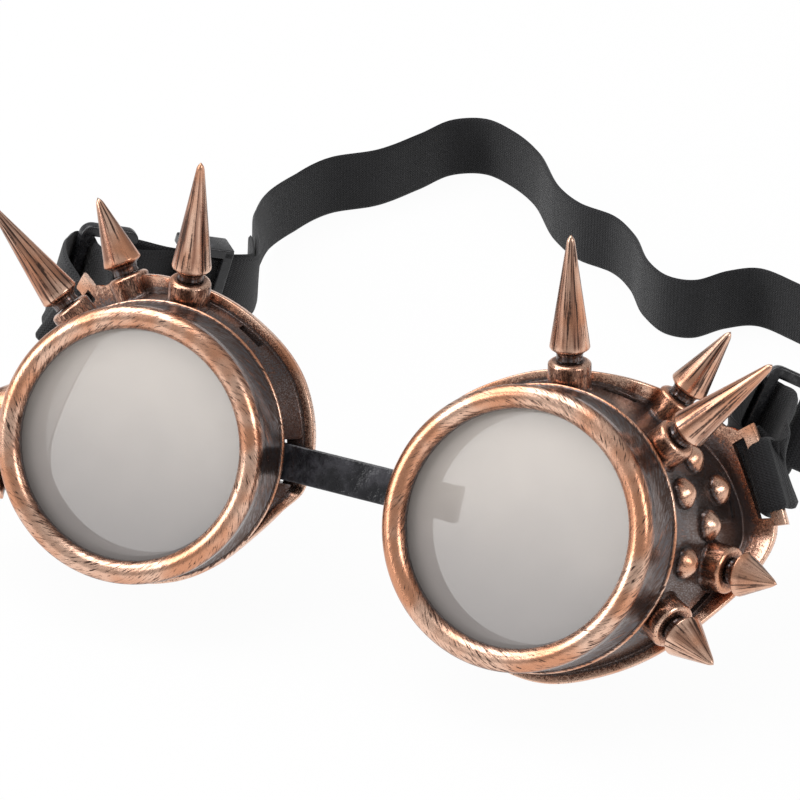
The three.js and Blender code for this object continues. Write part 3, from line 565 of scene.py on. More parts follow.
def outward(angle, lean):
    """Direction away from the lens axis at a clock angle, leaning this many degrees forwards."""
    return on_clock(angle, np.cos(np.radians(lean)), np.sin(np.radians(lean)))


def stand_on(grid, foot, direction):
    """A turned grid with its height put along a direction, from a foot point."""
    sideways = np.cross(direction, (0.0, 0.0, 1.0))
    sideways = sideways / np.linalg.norm(sideways)
    return foot + grid @ np.stack([sideways, np.cross(direction, sideways), direction])


def wall_foot(angle, depth):
    """The point of the wall at a clock angle and a depth behind the lip."""
    return on_clock(angle, wall_radius(np.array(angle), depth), -depth)


def on_wall(foot, direction, radius, columns):
    """Heights along a direction at which a round post of this radius has gone into the wall far
    enough, found by halving for all its sides at once."""
    low, high = np.full(columns, -7.0), np.full(columns, 6.0)
    ring = turned_grid(np.array([[radius, 0.0]]), columns)[:, 0]
    for _ in range(40):
        ring[:, 2] = (low + high) / 2
        x, y, z = stand_on(ring, foot, direction).T
        wall = wall_radius(np.degrees(np.arctan2(x, y)), -z)
        deep = np.hypot(x, y) - wall < -post_sunk
        low, high = np.where(deep, ring[:, 2], low), np.where(deep, high, ring[:, 2])
    return (low + high) / 2


def wall_post(angle, depth, lean, radii, low, high, marks, columns):
    """A round post sunk into the wall. Its first rows follow the wall at the low heights over their
    sunk seat, and the other rows are flat at the high heights over the foot."""
    foot, direction = wall_foot(angle, depth), outward(angle, lean)
    seat = on_wall(foot, direction, max(radii), columns)
    grid = turned_grid(np.stack([np.array(radii), np.zeros(len(radii))], -1), columns)
    grid[:, : len(low), 2] = seat[:, None] + low
    grid[:, len(low) :, 2] = high
    points = stand_on(grid, foot, direction)
    patina = np.broadcast_to(np.array(marks), grid.shape[:2])
    brush = cup_brush * grid * (1, 1, 0.3)
    return points, grid_faces(columns, len(radii), True, False), patina, brush


# Antique copper. Its wear mark gives rubbed plating, bronze wear and dark grey up to about 0.95; above
# that the colour is near-black painted shade in hollows, creases, grooves and sockets.
copper, paint = bare_material("antique_copper")
place = paint.node("ShaderNodeTexCoord", output="Object")
patina = paint.node("ShaderNodeAttribute", {"attribute_name": "patina"}, output="Fac")
brush = paint.node("ShaderNodeAttribute", {"attribute_name": "brush"}, output="Vector")
streak = brush.grain(1.0, 3.0, 0.55)
hair = brush.grain(3.2, 2.0, 0.5)
fleck = place.grain(1500.0, 3.0, 0.6)
cloud = place.grain(90.0, 2.0)
worn = patina + 0.75 * (streak - 0.5) + 0.4 * (hair - 0.5) + 0.3 * (cloud - 0.5)
bronze = worn.rise(0.25, 0.6)
steel = worn.rise(0.55, 0.72)
# Painted shade: near-black colour where the mark passes 0.95, in the hollows, creases, score lines and
# sockets of the cups, bezels and spikes.
hollow_and_painted_shade = (patina + 0.3 * (fleck - 0.5)).rise(0.95, 1.15)
scratch = (hair + 0.24 * patina + 0.2 * (cloud - 0.5) + 0.2 * (fleck - 0.5)).rise(0.62, 0.73)
plate = cloud.rise(0.38, 0.62).tint((0.67, 0.315, 0.185, 1), (0.86, 0.56, 0.42, 1))
copper_tone = bronze.tint(plate, (0.26, 0.12, 0.08, 1))
steel_tone = cloud.rise(0.38, 0.62).tint((0.105, 0.097, 0.104, 1), (0.2, 0.174, 0.173, 1))
tone = scratch.tint(steel.tint(copper_tone, steel_tone), (0.09, 0.052, 0.04, 1))
lay_on(
    paint,
    {
        "Base Color": hollow_and_painted_shade.tint(tone, (0.012, 0.011, 0.012, 1)),
        "Metallic": 0.95 - 0.15 * steel - 0.5 * hollow_and_painted_shade,
        "Roughness": 0.27 - 0.04 * steel + 0.2 * (fleck - 0.5),
        "Normal": (streak + 0.4 * fleck).bump(0.00004),
    },
)

for side, hand in hands.items():
    parts = [cup_shell(hand)]
    for _, angle, depth, lean, _, top, radius in spikes:
        steps = np.array((0.65, 0.65, 0.5, 0.3, 0.25, 0.25, 0.15, -0.1, -0.45, -0.6))
        radii = (0, *(radius + steps), 2.0, 1.8, 1.8, 0)
        low = np.array((0, 0, 0.9, 1.15, 1.5, 1.9))
        high = top - np.array((0.75, 0.5, 0.25, 0.04, 0, 0, 0.1, 1.5, 1.5))
        # Painted shade: the inside of the collar round the spike is marked 0.95, near-black in the
        # socket.
        marks = (0.9, 0.9, 0.9, 0.8, 0.66, 0.55, 0.5, 0.38, 0.2, 0.15, 0.35, 0.8, 0.95, 0.95, 0.95)
        parts.append(wall_post(angle, depth, lean, radii, low, high, marks, 72))
    for angle, depth in studs:
        end = rim_value(np.array(angle), 1) - rim_thickness
        flare = np.degrees(np.arctan2(wall_end(np.array(angle)) - shoulder_radius, end + shoulder))
        radii = (0, 3.35, 3.35, 3.2, 2.85, 2.3, 1.7, 1.15, 0.75, 0.35, 0)
        low = np.array((0, 0, 0.95))
        high = np.array((0.4, 0.9, 1.45, 1.95, 2.3, 2.47, 2.56, 2.58))
        # Painted shade: the stud's foot is marked past 1, near-black where it meets the wall.
        marks = (1.1, 1.1, 1.0, 0.75, 0.4, 0.25, 0.12, 0.05, 0.0, 0.0, 0.0)
        parts.append(wall_post(angle, depth, flare, radii, low, high, marks, 40))
    seed = np.array((0.0, 0.0, 37.0 * hand))
    parts = [
        (in_cup(side, points), faces, {"patina": mark, "brush": brushed + seed + 11.0 * number})
        for number, (points, faces, mark, brushed) in enumerate(parts)
    ]
    eyecup = put_piece(f"eyecup_shell_{side}", parts, copper)
    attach(eyecup, f"cup_{side}")
    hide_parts(f"eyecup_{side}")

# Lens gaskets: flat black rubber washers between the neck and the lens, cut from sheet and laid in
# the bezel before the lens. Their edges are soft and slightly dusty.
rubber, paint = bare_material("black_rubber")
place = paint.node("ShaderNodeTexCoord", output="Object")
dust = place.grain(260.0, 4.0)
pore = place.grain(2600.0, 2.0)
lay_on(
    paint,
    {
        "Base Color": dust.rise(0.4, 0.66).tint((0.013, 0.013, 0.016, 1), (0.05, 0.049, 0.058, 1)),
        "Roughness": 0.2 + 0.6 * (dust - 0.4),
        "Normal": (0.3 * pore + 4.0 * dust).bump(0.00015),
    },
)
gasket_bore, gasket_edge, gasket_front, gasket_back, gasket_ease = 22.9, 24.7, -5.0, -6.0, 0.35


def washer(bore, edge, front, back, bore_ease, edge_ease):
    """Rows of a flat washer's section: a rectangle with its corners eased at the bore and the edge."""
    corners = np.array(((bore, front), (edge, front), (edge, back), (bore, back)))
    return rounded(corners, (bore_ease, edge_ease, edge_ease, bore_ease))[0]


for side in hands:
    profile = washer(gasket_bore, gasket_edge, gasket_front, gasket_back, gasket_ease, gasket_ease)
    grid = turned_grid(profile, 144)
    gasket = put_piece(f"gasket_{side}", [skin(in_cup(side, grid))], rubber)
    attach(gasket, f"lens_carrier_{side}")
    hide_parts(f"lens_gasket_{side}")

# Lenses: flat 50 mm discs of warm grey half-mirrored plastic, 2 mm thick with a small edge bevel,
# dropped into the bezel from behind. Their colour is painted lighter towards the top, a painted
# reflection of the light from above.
lens_glass, paint = bare_material("lens_glass")
height = paint.node("ShaderNodeAttribute", {"attribute_name": "height"}, output="Fac")
place = paint.node("ShaderNodeTexCoord", output="Object")
haze = place.grain(45.0, 2.0)
smear = place.grain(700.0, 4.0, 0.6)
# Painted light: the lens colour goes from dark at the bottom to light at the top, a painted reflection
# of the lamps above.
painted_top_light = (height + 0.5 * (haze - 0.5)).rise(-1.0, 1.25)
lay_on(
    paint,
    {
        "Base Color": painted_top_light.tint((0.31, 0.284, 0.272, 1), (0.77, 0.7, 0.64, 1)),
        "Roughness": 0.16 + 0.2 * (smear - 0.45),
        "Metallic": 0.0,
        "Alpha": 0.6 + 0.06 * (haze - 0.5),
        "Coat Weight": 0.25,
        "Coat Roughness": 0.05,
        "Normal": haze.bump(0.00004),
    },
)
lens_radius, lens_front, lens_back, lens_bevel = 25.0, -2.7, -4.7, 0.3
for side in hands:
    rim_rows = washer(0, lens_radius, lens_front, lens_back, 0, lens_bevel)
    inner = np.linspace(0, 0.985, 9)[1:] * lens_radius
    front = np.stack([inner, np.full(len(inner), lens_front)], -1)
    back = np.stack([inner[::-1], np.full(len(inner), lens_back)], -1)
    profile = np.concatenate([rim_rows[:1], front, rim_rows[1:-1], back, rim_rows[-1:]])
    grid = turned_grid(profile, 144)
    marks = {"height": grid[..., 1] / lens_radius}
    lens = put_piece(f"lens_disc_{side}", [skin(in_cup(side, grid), marks, True, False)], lens_glass)
    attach(lens, f"lens_carrier_{side}")
    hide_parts(f"lens_{side}")

# Bezels: plated plastic rings that screw onto the necks and hold lens and gasket. A rolled lip, a thin
# step band, a hollow skirt and a raised ridge at the back, with the thread grooves inside.
lip_middle, lip_round, lip_centre = 25.85, 2.4, -1.2
bore_radius, bore_steps = lens_radius + air, 48
groove_from, groove_to, groove_root, groove_crest = -0.8625, 0.22, 2.2, 1.3
for side, hand in hands.items():
    way_over = np.linspace(0, 1, 33)
    arc = np.pi * (1 - way_over)
    lip = np.stack([lip_middle + lip_round * np.cos(arc), lip_centre + lip_round * np.sin(arc)], -1)
    lip_marks = np.interp(
        way_over,
        (0, 0.12, 0.3, 0.55, 0.8, 1),
        (0.72, 0.46, 0.26, 0.14, 0.32, 0.6),
    )
    skirt, _ = rounded(
        np.array(
            (
                (28.25, -2.95),
                (27.55, -3.2),
                (27.55, -4.5),
                (26.95, -4.8),
                (26.9, -7.4),
                (27.35, -10.2),
                (28.2, -12.6),
                (28.2, -12.9),
                (28.8, -13.15),
                (28.8, -13.8),
                (28.6, -14.0),
                (25.6, -14.0),
            )
        ),
        (0.25, 0.12, 0.2, 0.25, 1.2, 1.4, 0.1, 0.08, 0.25, 0.15, 0.1, 0.1),
    )
    # Painted shade: the skirt's inside corners and the cove before the ridge are marked near 1 and past
    # it, near-black where shade falls.
    skirt_marks = np.interp(
        -skirt[:, 1],
        (2.9, 3.2, 3.3, 4.3, 4.5, 4.8, 6.0, 9.0, 12.4, 12.9, 13.1, 13.5, 13.8, 14.0),
        (0.52, 0.95, 0.62, 0.56, 0.7, 1.0, 0.8, 0.74, 0.82, 1.1, 0.2, 0.05, 0.15, 0.9),
    )
    bore_z = np.linspace(-13.9, -3.0, bore_steps)
    bore = np.stack([np.full(bore_steps, bore_radius), bore_z], -1)
    seat = np.array(((bore_radius, -2.4), (23.75, -2.4), (23.45, -2.0)))
    profile = np.concatenate([lip, skirt, bore, seat])
    marks = np.concatenate([lip_marks, skirt_marks, np.full(len(bore) + len(seat), 0.85)])
    turn = all_round(240)
    grid = turned_grid(profile, len(turn))
    # The grooves also cut the skirt's last eased corner, so that they are open at the back
    bore_start = len(lip) + len(skirt)
    bore_rows = slice(bore_start - corner_rows, bore_start + bore_steps)
    bore_r, bore_z = profile[None, bore_rows, 0], profile[None, bore_rows, 1]
    groove = thread_relief(hand * turn, bore_z, groove_from, groove_to, groove_root, groove_crest)
    grid[:, bore_rows] = on_clock(turn, np.maximum(bore_r, bore_radius + groove), bore_z)
    steps = np.linalg.norm(np.diff(profile, axis=0, prepend=profile[:1]), axis=-1)
    run = np.cumsum(steps)
    brushed = on_clock(turn + 3.6 * run, 20.0, 0.3 * run)
    marks = {"patina": np.broadcast_to(marks, grid.shape[:2]), "brush": brushed + 53.0 * hand}
    bezel = put_piece(f"bezel_ring_{side}", [skin(in_cup(side, grid), marks)], copper)
    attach(bezel, f"bezel_{side}")
    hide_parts(f"bezel_{side}")

# Spikes: moulded plastic cones with a waisted neck and a stem, plated like the cups, pushed into the
# collars and glued. The plating is rubbed through in streaks that run to the tip.
stem_length, stem_radius, waist_length, base_length = 3.0, 1.5, 1.6, 0.9
for side, hand in hands.items():
    for number, (label, angle, depth, lean, length, collar, radius) in enumerate(spikes):
        neck = collar + air
        base = neck + waist_length
        cone = base + base_length
        tip = cone + length
        profile, _ = rounded(
            np.array(
                (
                    (0, collar - stem_length),
                    (stem_radius, collar - stem_length),
                    (stem_radius, neck),
                    (2.75, neck),
                    (2.6, neck + 0.8),
                    (2.85, base),
                    (radius, cone),
                    (0.75, tip - 0.9),
                    (0, tip),
                )
            ),
            (0, 0.2, 0.1, 0.25, 0.4, 0.3, 0.35, 0.7, 0),
        )
        # More rows along the straight side of the cone, for the wear
        inner = np.linspace(0.04, 0.96, 14)[:, None]
        before = profile[:, 1].searchsorted(cone + 1.0)
        shaft = profile[before - 1] + inner * (profile[before] - profile[before - 1])
        profile = np.concatenate([profile[:before], shaft, profile[before:]])
        # Painted shade: the stem at the collar and the waist are marked 0.7 to 1.1, darkest where the
        # spike enters its collar.
        marks = np.interp(
            profile[:, 1],
            (collar, neck, neck + 0.8, base, base + 0.5, cone, cone + 1.5, tip - 3, tip),
            (1.1, 0.9, 0.7, 0.95, 0.6, 0.1, 0.42, 0.38, 0.22),
        )
        turn = all_round(72)
        grid = turned_grid(profile, len(turn))
        foot, direction = wall_foot(angle, depth), outward(angle, lean)
        brushed = on_clock(turn, 2.0, 0.03 * profile[:, 1]) + 17.0 * number + 5.0 * hand
        marks = {"patina": np.broadcast_to(marks, grid.shape[:2]), "brush": brushed}
        points = in_cup(side, stand_on(grid, foot, direction))
        spike = put_piece(f"spike_cone_{label}_{side}", [skin(points, marks, True, False)], copper)
        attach(spike, f"cup_{side}")
        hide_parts(f"spike_{label}_{side}")

# Bridge strip: one straight black rubber strip that goes through a slot in the nose side of each cup
# and has a thicker stop at each end inside. It is held by its stops.
strip_height, strip_thickness, stop_length, stop_thickness = 7.5, 1.6, 1.6, 3.4
strip_inside = 8.4
strip_ends = {side: in_cup(side, np.array((-shoulder_radius, 1.0, -17.1))) for side in hands}


def unit(vector):
    """The vector divided by its length."""
    return vector / np.linalg.norm(vector, axis=-1, keepdims=True)


strip_along = strip_ends["right"] - strip_ends["left"]
half = 1000 * np.linalg.norm(strip_along) / 2 + strip_inside
strip_along = unit(strip_along)
strip_up = cup_axes["left"][1] + cup_axes["right"][1]
strip_up = unit(strip_up - strip_along * (strip_up @ strip_along))
strip_out = np.cross(strip_along, strip_up)
strip_middle = 1000 * (strip_ends["left"] + strip_ends["right"]) / 2


def rounded_bar(width, thickness, ease):
    """Outline of a flat bar's section, with its corners rounded."""
    u, v = width / 2, thickness / 2
    return rounded(np.array(((-u, -v), (u, -v), (u, v), (-u, v))), (ease,) * 4)[0]


def carried(middle, along, stations, section, width_way, thick_way):
    """A section carried along a straight line: the place on the line, plus the section's width and
    thickness in their directions."""
    points = (
        middle
        + stations[:, None, None] * along
        + section[..., :1] * width_way
        + section[..., 1:] * thick_way
    )
    return skin(0.001 * points, None, False)


stop_stations = np.array((0, 0, 0.25, stop_length - 0.3, stop_length, stop_length + 0.2)) - half
middle_stations = np.linspace(4 - half, half - 4, 40)
stations = np.concatenate([stop_stations, middle_stations, -stop_stations[::-1]])
thick = np.interp(
    half - np.abs(stations),
    (0, 0.25, stop_length - 0.3, stop_length, stop_length + 0.2),
    (stop_thickness - 0.5, stop_thickness, stop_thickness, strip_thickness + 0.2, strip_thickness),
)
tall = np.where(half - np.abs(stations) < 0.2, strip_height - 0.4, strip_height)
section = np.stack([rounded_bar(t, w, 0.45) for t, w in zip(tall, thick)])
section[[0, -1]] *= 0.0
strip_skin = carried(strip_middle, strip_along, stations, section, strip_up, strip_out)
strip = put_piece("bridge_bar", [strip_skin], rubber)
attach(strip, "bridge")
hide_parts("bridge_strip")

# Strap loops: short lengths of 15 mm black woven elastic, each passed through a cup's lug and a ring
# and sewn to itself. A finer edge runs along both sides of the weave.
strap_width, strap_thickness = 15.0, 1.1
ring_bar, ring_window, ring_corner = 2.6, 8.2, 2.6
ring_pitch = (ring_window + ring_bar) / 2
wrap_radius = ring_bar / np.sqrt(2) + air + strap_thickness / 2
lug_bar_width = 2.8
lug_bar_radius = lug_slot_radius + lug_slot_half + lug_bar_width / 2
lug_depth = rim_value(np.array(lug_angle), 1)
# Middle line of the head strap, from the place on the table under the middle between the lenses
strap_route = np.array(
    (
        (-64.5, 86.8, 26),
        (-60, 91, 24.4),
        (-58.8, 98.5, 21),
        (-62.5, 110, 17.5),
        (-68, 122, 15),
        (-72.5, 135, 12),
        (-76, 150, 9),
        (-75, 163, 7.5),
        (-71, 174, 7.5),
        (-62, 182.5, 7.5),
        (-56, 194, 7.5),
        (-51.5, 204, 7.5),
        (-44.5, 207.5, 7.5),
        (-36, 204, 7.5),
        (-27, 196.5, 7.5),
        (-16.5, 182, 7.5),
        (-8.5, 175.5, 7.5),
        (1, 172.5, 7.5),
        (8, 166, 7.5),
        (15, 155.5, 7.5),
        (22, 150, 7.5),
        (28, 150.5, 7.5),
        (33.5, 157.5, 7.5),
        (39.5, 161.5, 7.5),
        (49, 158.5, 7.5),
        (61, 152, 7.5),
        (73, 142, 7.5),
        (82, 127, 8.5),
        (86.5, 108, 12),
        (87, 90, 18),
        (83, 74, 26.5),
    )
)
strap_route = strap_route + 1000 * look_at * (1, 1, 0)
ring_offsets = {"left": (-4, 24, -2), "right": (-5, 23, -1)}
# Points and directions at each end of the strap: the lug's bar, the ring and the ways between them
strap_ends = {}
for side, hand in hands.items():
    bar = 1000 * in_cup(side, on_clock(lug_angle, lug_bar_radius, rim_thickness / 2 - lug_depth))
    out = on_clock(lug_angle, 1.0, 0.0) @ cup_axes[side]
    slotwise = on_clock(lug_angle - 90, 1.0, 0.0) @ cup_axes[side]
    ring = bar + ring_offsets[side]
    back = unit(strap_route[0 if hand < 0 else -1] - ring)
    upright = slotwise * np.sign(slotwise[2]) + (0, 0, 1)
    across = unit(upright - back * (upright @ back))
    front = ring - ring_pitch * back
    far = unit(front - bar - across * ((front - bar) @ across))
    beside = np.cross(far, across)
    strap_ends[side] = {
        "bar": bar,
        "out": out,
        "slotwise": slotwise * np.sign(slotwise[2]),
        "axis": cup_axes[side][2],
        "ring": ring,
        "back": back,
        "across": across,
        "front": front,
        "far": far,
        "beside": beside * np.sign(beside @ out),
    }


def through(points, closed, fine):
    """A smooth line through points: cubic pieces whose speed follows the square root of the distance
    between the points, so that it doesn't overshoot."""
    if closed:
        p0, p1, p2, p3 = (np.roll(points, k, 0) for k in (1, 0, -1, -2))
    else:
        first, last = 2 * points[:1] - points[1:2], 2 * points[-1:] - points[-2:-1]
        longer = np.concatenate([first, points, last])
        p0, p1, p2, p3 = longer[:-3], longer[1:-2], longer[2:-1], longer[3:]
    pairs = ((p0, p1), (p1, p2), (p2, p3))
    d0, d1, d2 = (np.sqrt(np.linalg.norm(b - a, axis=1))[:, None] for a, b in pairs)
    t1 = ((p1 - p0) / d0 - (p2 - p0) / (d0 + d1) + (p2 - p1) / d1) * d1
    t2 = ((p2 - p1) / d1 - (p3 - p1) / (d1 + d2) + (p3 - p2) / d2) * d1
    s = np.linspace(0, 1, fine, endpoint=False)[None, :, None]
    line = cubic(s, p1[:, None], p2[:, None], t1[:, None], t2[:, None]).reshape(-1, 3)
    return line if closed else np.concatenate([line, points[-1:]])


def run_along(line):
    """Distance from a line's first point to each of its points, along the line."""
    return np.concatenate([[0], np.cumsum(np.linalg.norm(np.diff(line, axis=0), axis=1))])


def even_steps(line, step, closed):
    """The line again, with points an equal step apart, and its length."""
    if closed:
        line = np.concatenate([line, line[:1]])
    run = run_along(line)
    count = int(round(run[-1] / step)) + 1
    at = np.linspace(0, run[-1], count)
    spaced = np.stack([np.interp(at, run, line[:, k]) for k in range(3)], -1)
    return (spaced[:-1], run[-1]) if closed else (spaced, run[-1])


def smooth(x, low, high):
    """0 below low, 1 above high, and a smooth step between them."""
    t = np.clip((x - low) / (high - low), 0, 1)
    return t * t * (3 - 2 * t)


def webbing(line, across, closed):
    """A flat band carried along a line: at each point a thin section with round edges, `across` giving
    its width. Marks hold the run along the band and the place across it."""
    if closed:
        along = unit(np.roll(line, -1, 0) - np.roll(line, 1, 0))
    else:
        along = unit(np.gradient(line, axis=0))
    flat = unit(across - along * np.sum(across * along, 1, keepdims=True))
    normal = np.cross(along, flat)
    edge = np.linspace(-1, 1, 25)
    swell = strap_thickness / 2 * np.sqrt(np.clip(1 - np.abs(edge) ** 24, 0, 1))
    upper = np.stack([edge * strap_width / 2, swell], -1)
    section = np.concatenate([upper, upper[-2:0:-1] * (1, -1)])
    points = line[:, None] + section[:, :1] * flat[:, None] + section[:, 1:] * normal[:, None]
    marks = np.stack(np.broadcast_arrays(run_along(line)[:, None], section[:, 0], 0.0), -1)
    if not closed:
        points = np.concatenate([points[:1] * 0 + line[0], points, points[:1] * 0 + line[-1]])
        marks = np.concatenate([marks[:1], marks, marks[-1:]])
    return skin(0.001 * points, {"weave": marks}, closed)


elastic, paint = bare_material("black_elastic")
weave = paint.node("ShaderNodeAttribute", {"attribute_name": "weave"}, output="Vector")
pulled = weave.node("ShaderNodeSeparateXYZ", None, {0: weave}, 0)
crossed = weave.node("ShaderNodeSeparateXYZ", None, {0: weave}, 1)
place = paint.node("ShaderNodeTexCoord", output="Object")
lint = place.grain(420.0, 4.0, 0.65)
fuzz = place.grain(3200.0, 2.0)
rib = (crossed * (2 * np.pi / 0.62)).wave()
thread = (pulled * (2 * np.pi / 0.8)).wave()
selvedge = crossed.math("ABSOLUTE", crossed).rise(6.35, 6.7)
woven = 0.5 + 0.28 * rib * thread + 0.12 * thread + 0.5 * (fuzz - 0.5)
yarn = (woven + 0.9 * (lint - 0.5)).rise(0.2, 1.05)
lay_on(
    paint,
    {
        "Base Color": yarn.tint((0.005, 0.005, 0.006, 1), (0.02, 0.02, 0.0225, 1)),
        "Roughness": 0.78 + 0.25 * (lint - 0.5),
        "Specular IOR Level": 0.35,
        "Sheen Weight": 0.12,
        "Sheen Roughness": 0.5,
        "Normal": (woven + 0.25 * selvedge).bump(0.00022),
    },
)

aside = lug_bar_width / 2 + air + strap_thickness / 2
in_slot = lug_bar_width / 2 + lug_slot_half
ahead = rim_thickness / 2 + air + strap_thickness / 2
for side in hands:
    end = strap_ends[side]
    at_lug = np.array(
        (
            (-in_slot, -3.2 * ahead),
            (-in_slot, 0),
            (-0.95 * aside, 0.95 * ahead),
            (0, 1.25 * ahead),
            (0.95 * aside, 0.95 * ahead),
            (aside, 0),
            (1.2 * aside, -1.6 * ahead),
        )
    )
    at_lug = end["bar"] + at_lug[:, :1] * end["out"] + at_lug[:, 1:] * end["axis"]
    at_ring = wrap_radius * np.array(
        ((1.4, -2), (1.1, -0.4), (0.72, 0.72), (0, 1), (-0.72, 0.72), (-1.1, -0.4), (-1.9, -2))
    )
    at_ring = end["front"] + at_ring[:, :1] * end["beside"] + at_ring[:, 1:] * end["far"]
    reach = end["front"] - end["bar"]
    # The outer and the inner run: share of the way to the ring, and how far it bows outwards there
    bow_out, bow_in = (
        end["bar"] + share * reach + bow * unit((1 - share) * end["out"] + share * end["beside"])
        for share, bow in ((0.38, 3.0), (0.52, -7.0))
    )
    loop_line = through(np.concatenate([at_lug, [bow_out], at_ring, [bow_in]]), True, 40)
    loop_line, loop_length = even_steps(loop_line, 0.6, True)
    twist = smooth((loop_line - end["bar"]) @ reach / (reach @ reach), 0.05, 0.6)[:, None]
    loop_across = unit(end["slotwise"] * (1 - twist) + end["across"] * twist)
    loop = put_piece(f"elastic_loop_{side}", [webbing(loop_line, loop_across, True)], elastic)
    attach(loop, f"cup_{side}")
    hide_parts(f"strap_loop_{side}")

# Buckle rings: rectangular rings of glossy black plastic that join each loop to the head strap. They
# are moulded with round corners and carry fine scuffs.
black_plastic, paint = bare_material("black_plastic")
place = paint.node("ShaderNodeTexCoord", output="Object")
scuff = place.stretch((1.0, 0.25, 1.0)).grain(900.0, 5.0, 0.7)
cloudy = place.grain(160.0, 2.0)
lay_on(
    paint,
    {
        "Base Color": scuff.rise(0.5, 0.72).tint((0.012, 0.012, 0.014, 1), (0.05, 0.05, 0.054, 1)),
        "Roughness": 0.24 + 0.45 * (scuff - 0.4) + 0.2 * (cloudy - 0.5),
        "Normal": (scuff + cloudy).bump(0.00006),
    },
)


def ring_around(half_u, half_v, bar, corner, ease):
    """A rectangular ring: a square section with round edges carried round a rectangle with round
    corners. Its grid is (way round, section) in (u, v, height)."""
    quarter = np.radians(np.linspace(0, 90, 10))
    turn = np.concatenate([quarter + np.pi / 2 * k for k in range(4)])
    section = rounded_bar(bar, bar, ease)
    grow = bar / 2 + section[:, 0]
    radius = np.maximum(corner - bar + grow, 0.25)
    sign_u, sign_v = (np.repeat(signs, 10) for signs in ((1, -1, -1, 1), (1, 1, -1, -1)))
    u = sign_u[:, None] * (half_u + grow - radius) + radius * np.cos(turn)[:, None]
    v = sign_v[:, None] * (half_v + grow - radius) + radius * np.sin(turn)[:, None]
    return np.stack(np.broadcast_arrays(u, v, section[None, :, 1]), -1)


strap_play, ring_ease = 0.7, 0.7
for side in hands:
    end = strap_ends[side]
    half_across = strap_width / 2 + strap_play
    grid = ring_around(half_across, ring_window / 2, ring_bar, ring_corner, ring_ease)
    axes = np.stack([end["across"], end["back"], np.cross(end["across"], end["back"])])
    points = 0.001 * (end["ring"] + grid @ axes)
    ring = put_piece(f"buckle_ring_{side}", [skin(points)], black_plastic)
    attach(ring, f"cup_{side}")
    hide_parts(f"strap_ring_{side}")

# Head strap: one long length of the same elastic. It is folded round the left ring with its free end
# through the slider, stands on its edge in waves on the table, and is sewn round the right ring.
tail_free, tail_sewn, layer_ease, strap_turn, strap_step = 52.0, 16.0, 20.0, 70.0, 0.8
layer_offset = (strap_thickness + 0.45) / 2
rear_left, rear_right = (
    strap_ends[side]["ring"] + ring_pitch * strap_ends[side]["back"] for side in ("left", "right")
)
strap_line = np.concatenate(
    [
        [rear_left, rear_left + strap_width / 2 * strap_ends["left"]["back"]],
        strap_route,
        [rear_right + strap_width / 2 * strap_ends["right"]["back"], rear_right],
    ]
)
strap_line, strap_length = even_steps(through(strap_line, False, 60), 1.0, False)
strap_run = np.linspace(0, strap_length, len(strap_line))


def strap_frame(distance):
    """Middle point, direction, width and face direction of the strap at distances from the left ring:
    it twists upright behind each ring and stands on its edge between them."""
    distance = np.clip(distance, 0, strap_length)
    point = np.stack([np.interp(distance, strap_run, strap_line[:, k]) for k in range(3)], -1)
    point[:, 2] = np.maximum(point[:, 2], strap_width / 2)
    tangent = unit(np.gradient(strap_line, axis=0))
    along = unit(np.stack([np.interp(distance, strap_run, tangent[:, k]) for k in range(3)], -1))
    left = 1 - smooth(distance, 0, strap_turn)[:, None]
    right = 1 - smooth(strap_length - distance, 0, strap_turn)[:, None]
    across = np.array((0, 0, 1.0)) * (1 - left) + strap_ends["left"]["across"] * left
    across = across * (1 - right) + strap_ends["right"]["across"] * right
    across = unit(across - along * np.sum(across * along, 1, keepdims=True))
    return point, along, across, np.cross(across, along)


def spread(distance):
    """Half the gap between two layers: wide at a ring's bar, close together behind it."""
    return layer_offset + (wrap_radius - layer_offset) * (1 - smooth(distance, 1, layer_ease / 2))


def layer(distance, offset):
    """One layer of the strap: its middle line moved by an offset along the face direction."""
    point, _, across, normal = strap_frame(distance)
    return point + offset[:, None] * normal, across


def wrap(distance, sign, forward):
    """The half turn round a ring's bar: equal angles on a circle of the wrap radius."""
    turn = np.radians(np.linspace(180 / 16, 180 - 180 / 16, 15))[:, None]
    point, along, across, normal = strap_frame(np.full(15, distance))
    bent = sign * np.cos(turn) * normal + forward * np.sin(turn) * along
    return point + wrap_radius * bent, across


tail_run = np.arange(tail_free, 0, -strap_step)
main_run = np.arange(0, strap_length + 0.1, strap_step)
from_end = strap_length - main_run
main_offset = np.maximum(
    (1 - smooth(main_run, tail_free, tail_free + layer_ease)) * spread(main_run),
    (1 - smooth(from_end, tail_sewn + 4, tail_sewn + 4 + layer_ease)) * spread(from_end),
)
sewn_run = strap_length - np.arange(strap_step, tail_sewn, strap_step)
main_line, main_across = layer(main_run, -main_offset)
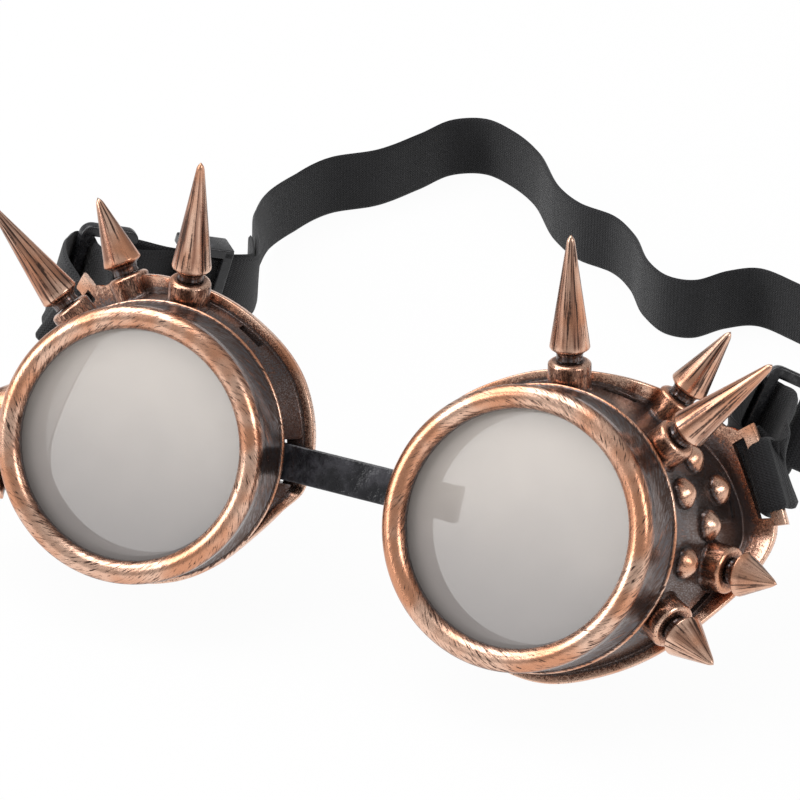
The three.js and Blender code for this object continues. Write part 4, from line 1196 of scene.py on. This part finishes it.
# The strap is two sheets. They meet at this place across the table
meet_x = 70.0
past_waves = main_run >= 0.7 * strap_length
cut = int(np.argmin(np.where(past_waves, np.abs(main_line[:, 0] - meet_x), np.inf)))
left_parts = [
    layer(tail_run, spread(tail_run)),
    wrap(0.0, 1, -1),
    (main_line[: cut + 1], main_across[: cut + 1]),
]
right_parts = [
    (main_line[cut:], main_across[cut:]),
    wrap(strap_length, -1, 1),
    layer(sewn_run, spread(strap_length - sewn_run)),
]
for side, strap_parts in (("left", left_parts), ("right", right_parts)):
    line, across = (np.concatenate([part[k] for part in strap_parts]) for k in range(2))
    length = run_along(line)[-1]
    strap = put_piece(f"strap_run_{side}", [webbing(line, across, False)], elastic)
    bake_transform(strap)
    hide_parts("head_strap")

# Slider: a black plastic tri-glide on the doubled strap behind the left ring, two bars outside one
# layer and one bar outside the other, joined by rails along the strap's edges.
slider_place, slider_length, slider_rail, slider_bar = 17.0, 12.0, 2.2, 1.3
middle_width, outer_width = 3.0, 2.4
point, along, across, normal = (item[0] for item in strap_frame(np.array([slider_place])))
half_across = strap_width / 2 + strap_play
half_window = layer_offset + strap_thickness / 2 + strap_play
level = half_window + slider_bar / 2
rail_tall = 2 * (half_window + slider_bar)
bar_length = 2 * (half_across + slider_rail) - 0.4


def straight_bar(middle, direction, length, width_way, width, thick_way, thickness):
    """A straight moulded bar: a rounded section carried along its length, drawn in at both ends."""
    stations = np.array((-1, -1, -0.985, -0.94, 0, 0.94, 0.985, 1, 1)) * length / 2
    shrink = np.array((0, 0.72, 0.9, 1, 1, 1, 0.9, 0.72, 0))[:, None, None]
    section = shrink * rounded_bar(width, thickness, 0.4)
    return carried(middle, direction, stations, section, width_way, thick_way)


over = point + level * normal
bars = [straight_bar(over, across, bar_length, along, middle_width, normal, slider_bar)]
for way in (-1, 1):
    aside = point + way * (half_across + slider_rail / 2) * across
    bars.append(straight_bar(aside, along, slider_length, across, slider_rail, normal, rail_tall))
    under = point + way * (slider_length - outer_width) / 2 * along - level * normal
    bars.append(straight_bar(under, across, bar_length, along, outer_width, normal, slider_bar))
slider = put_piece("slider_frame", bars, black_plastic)
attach(slider, "strap_slider")
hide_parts("strap_slider")
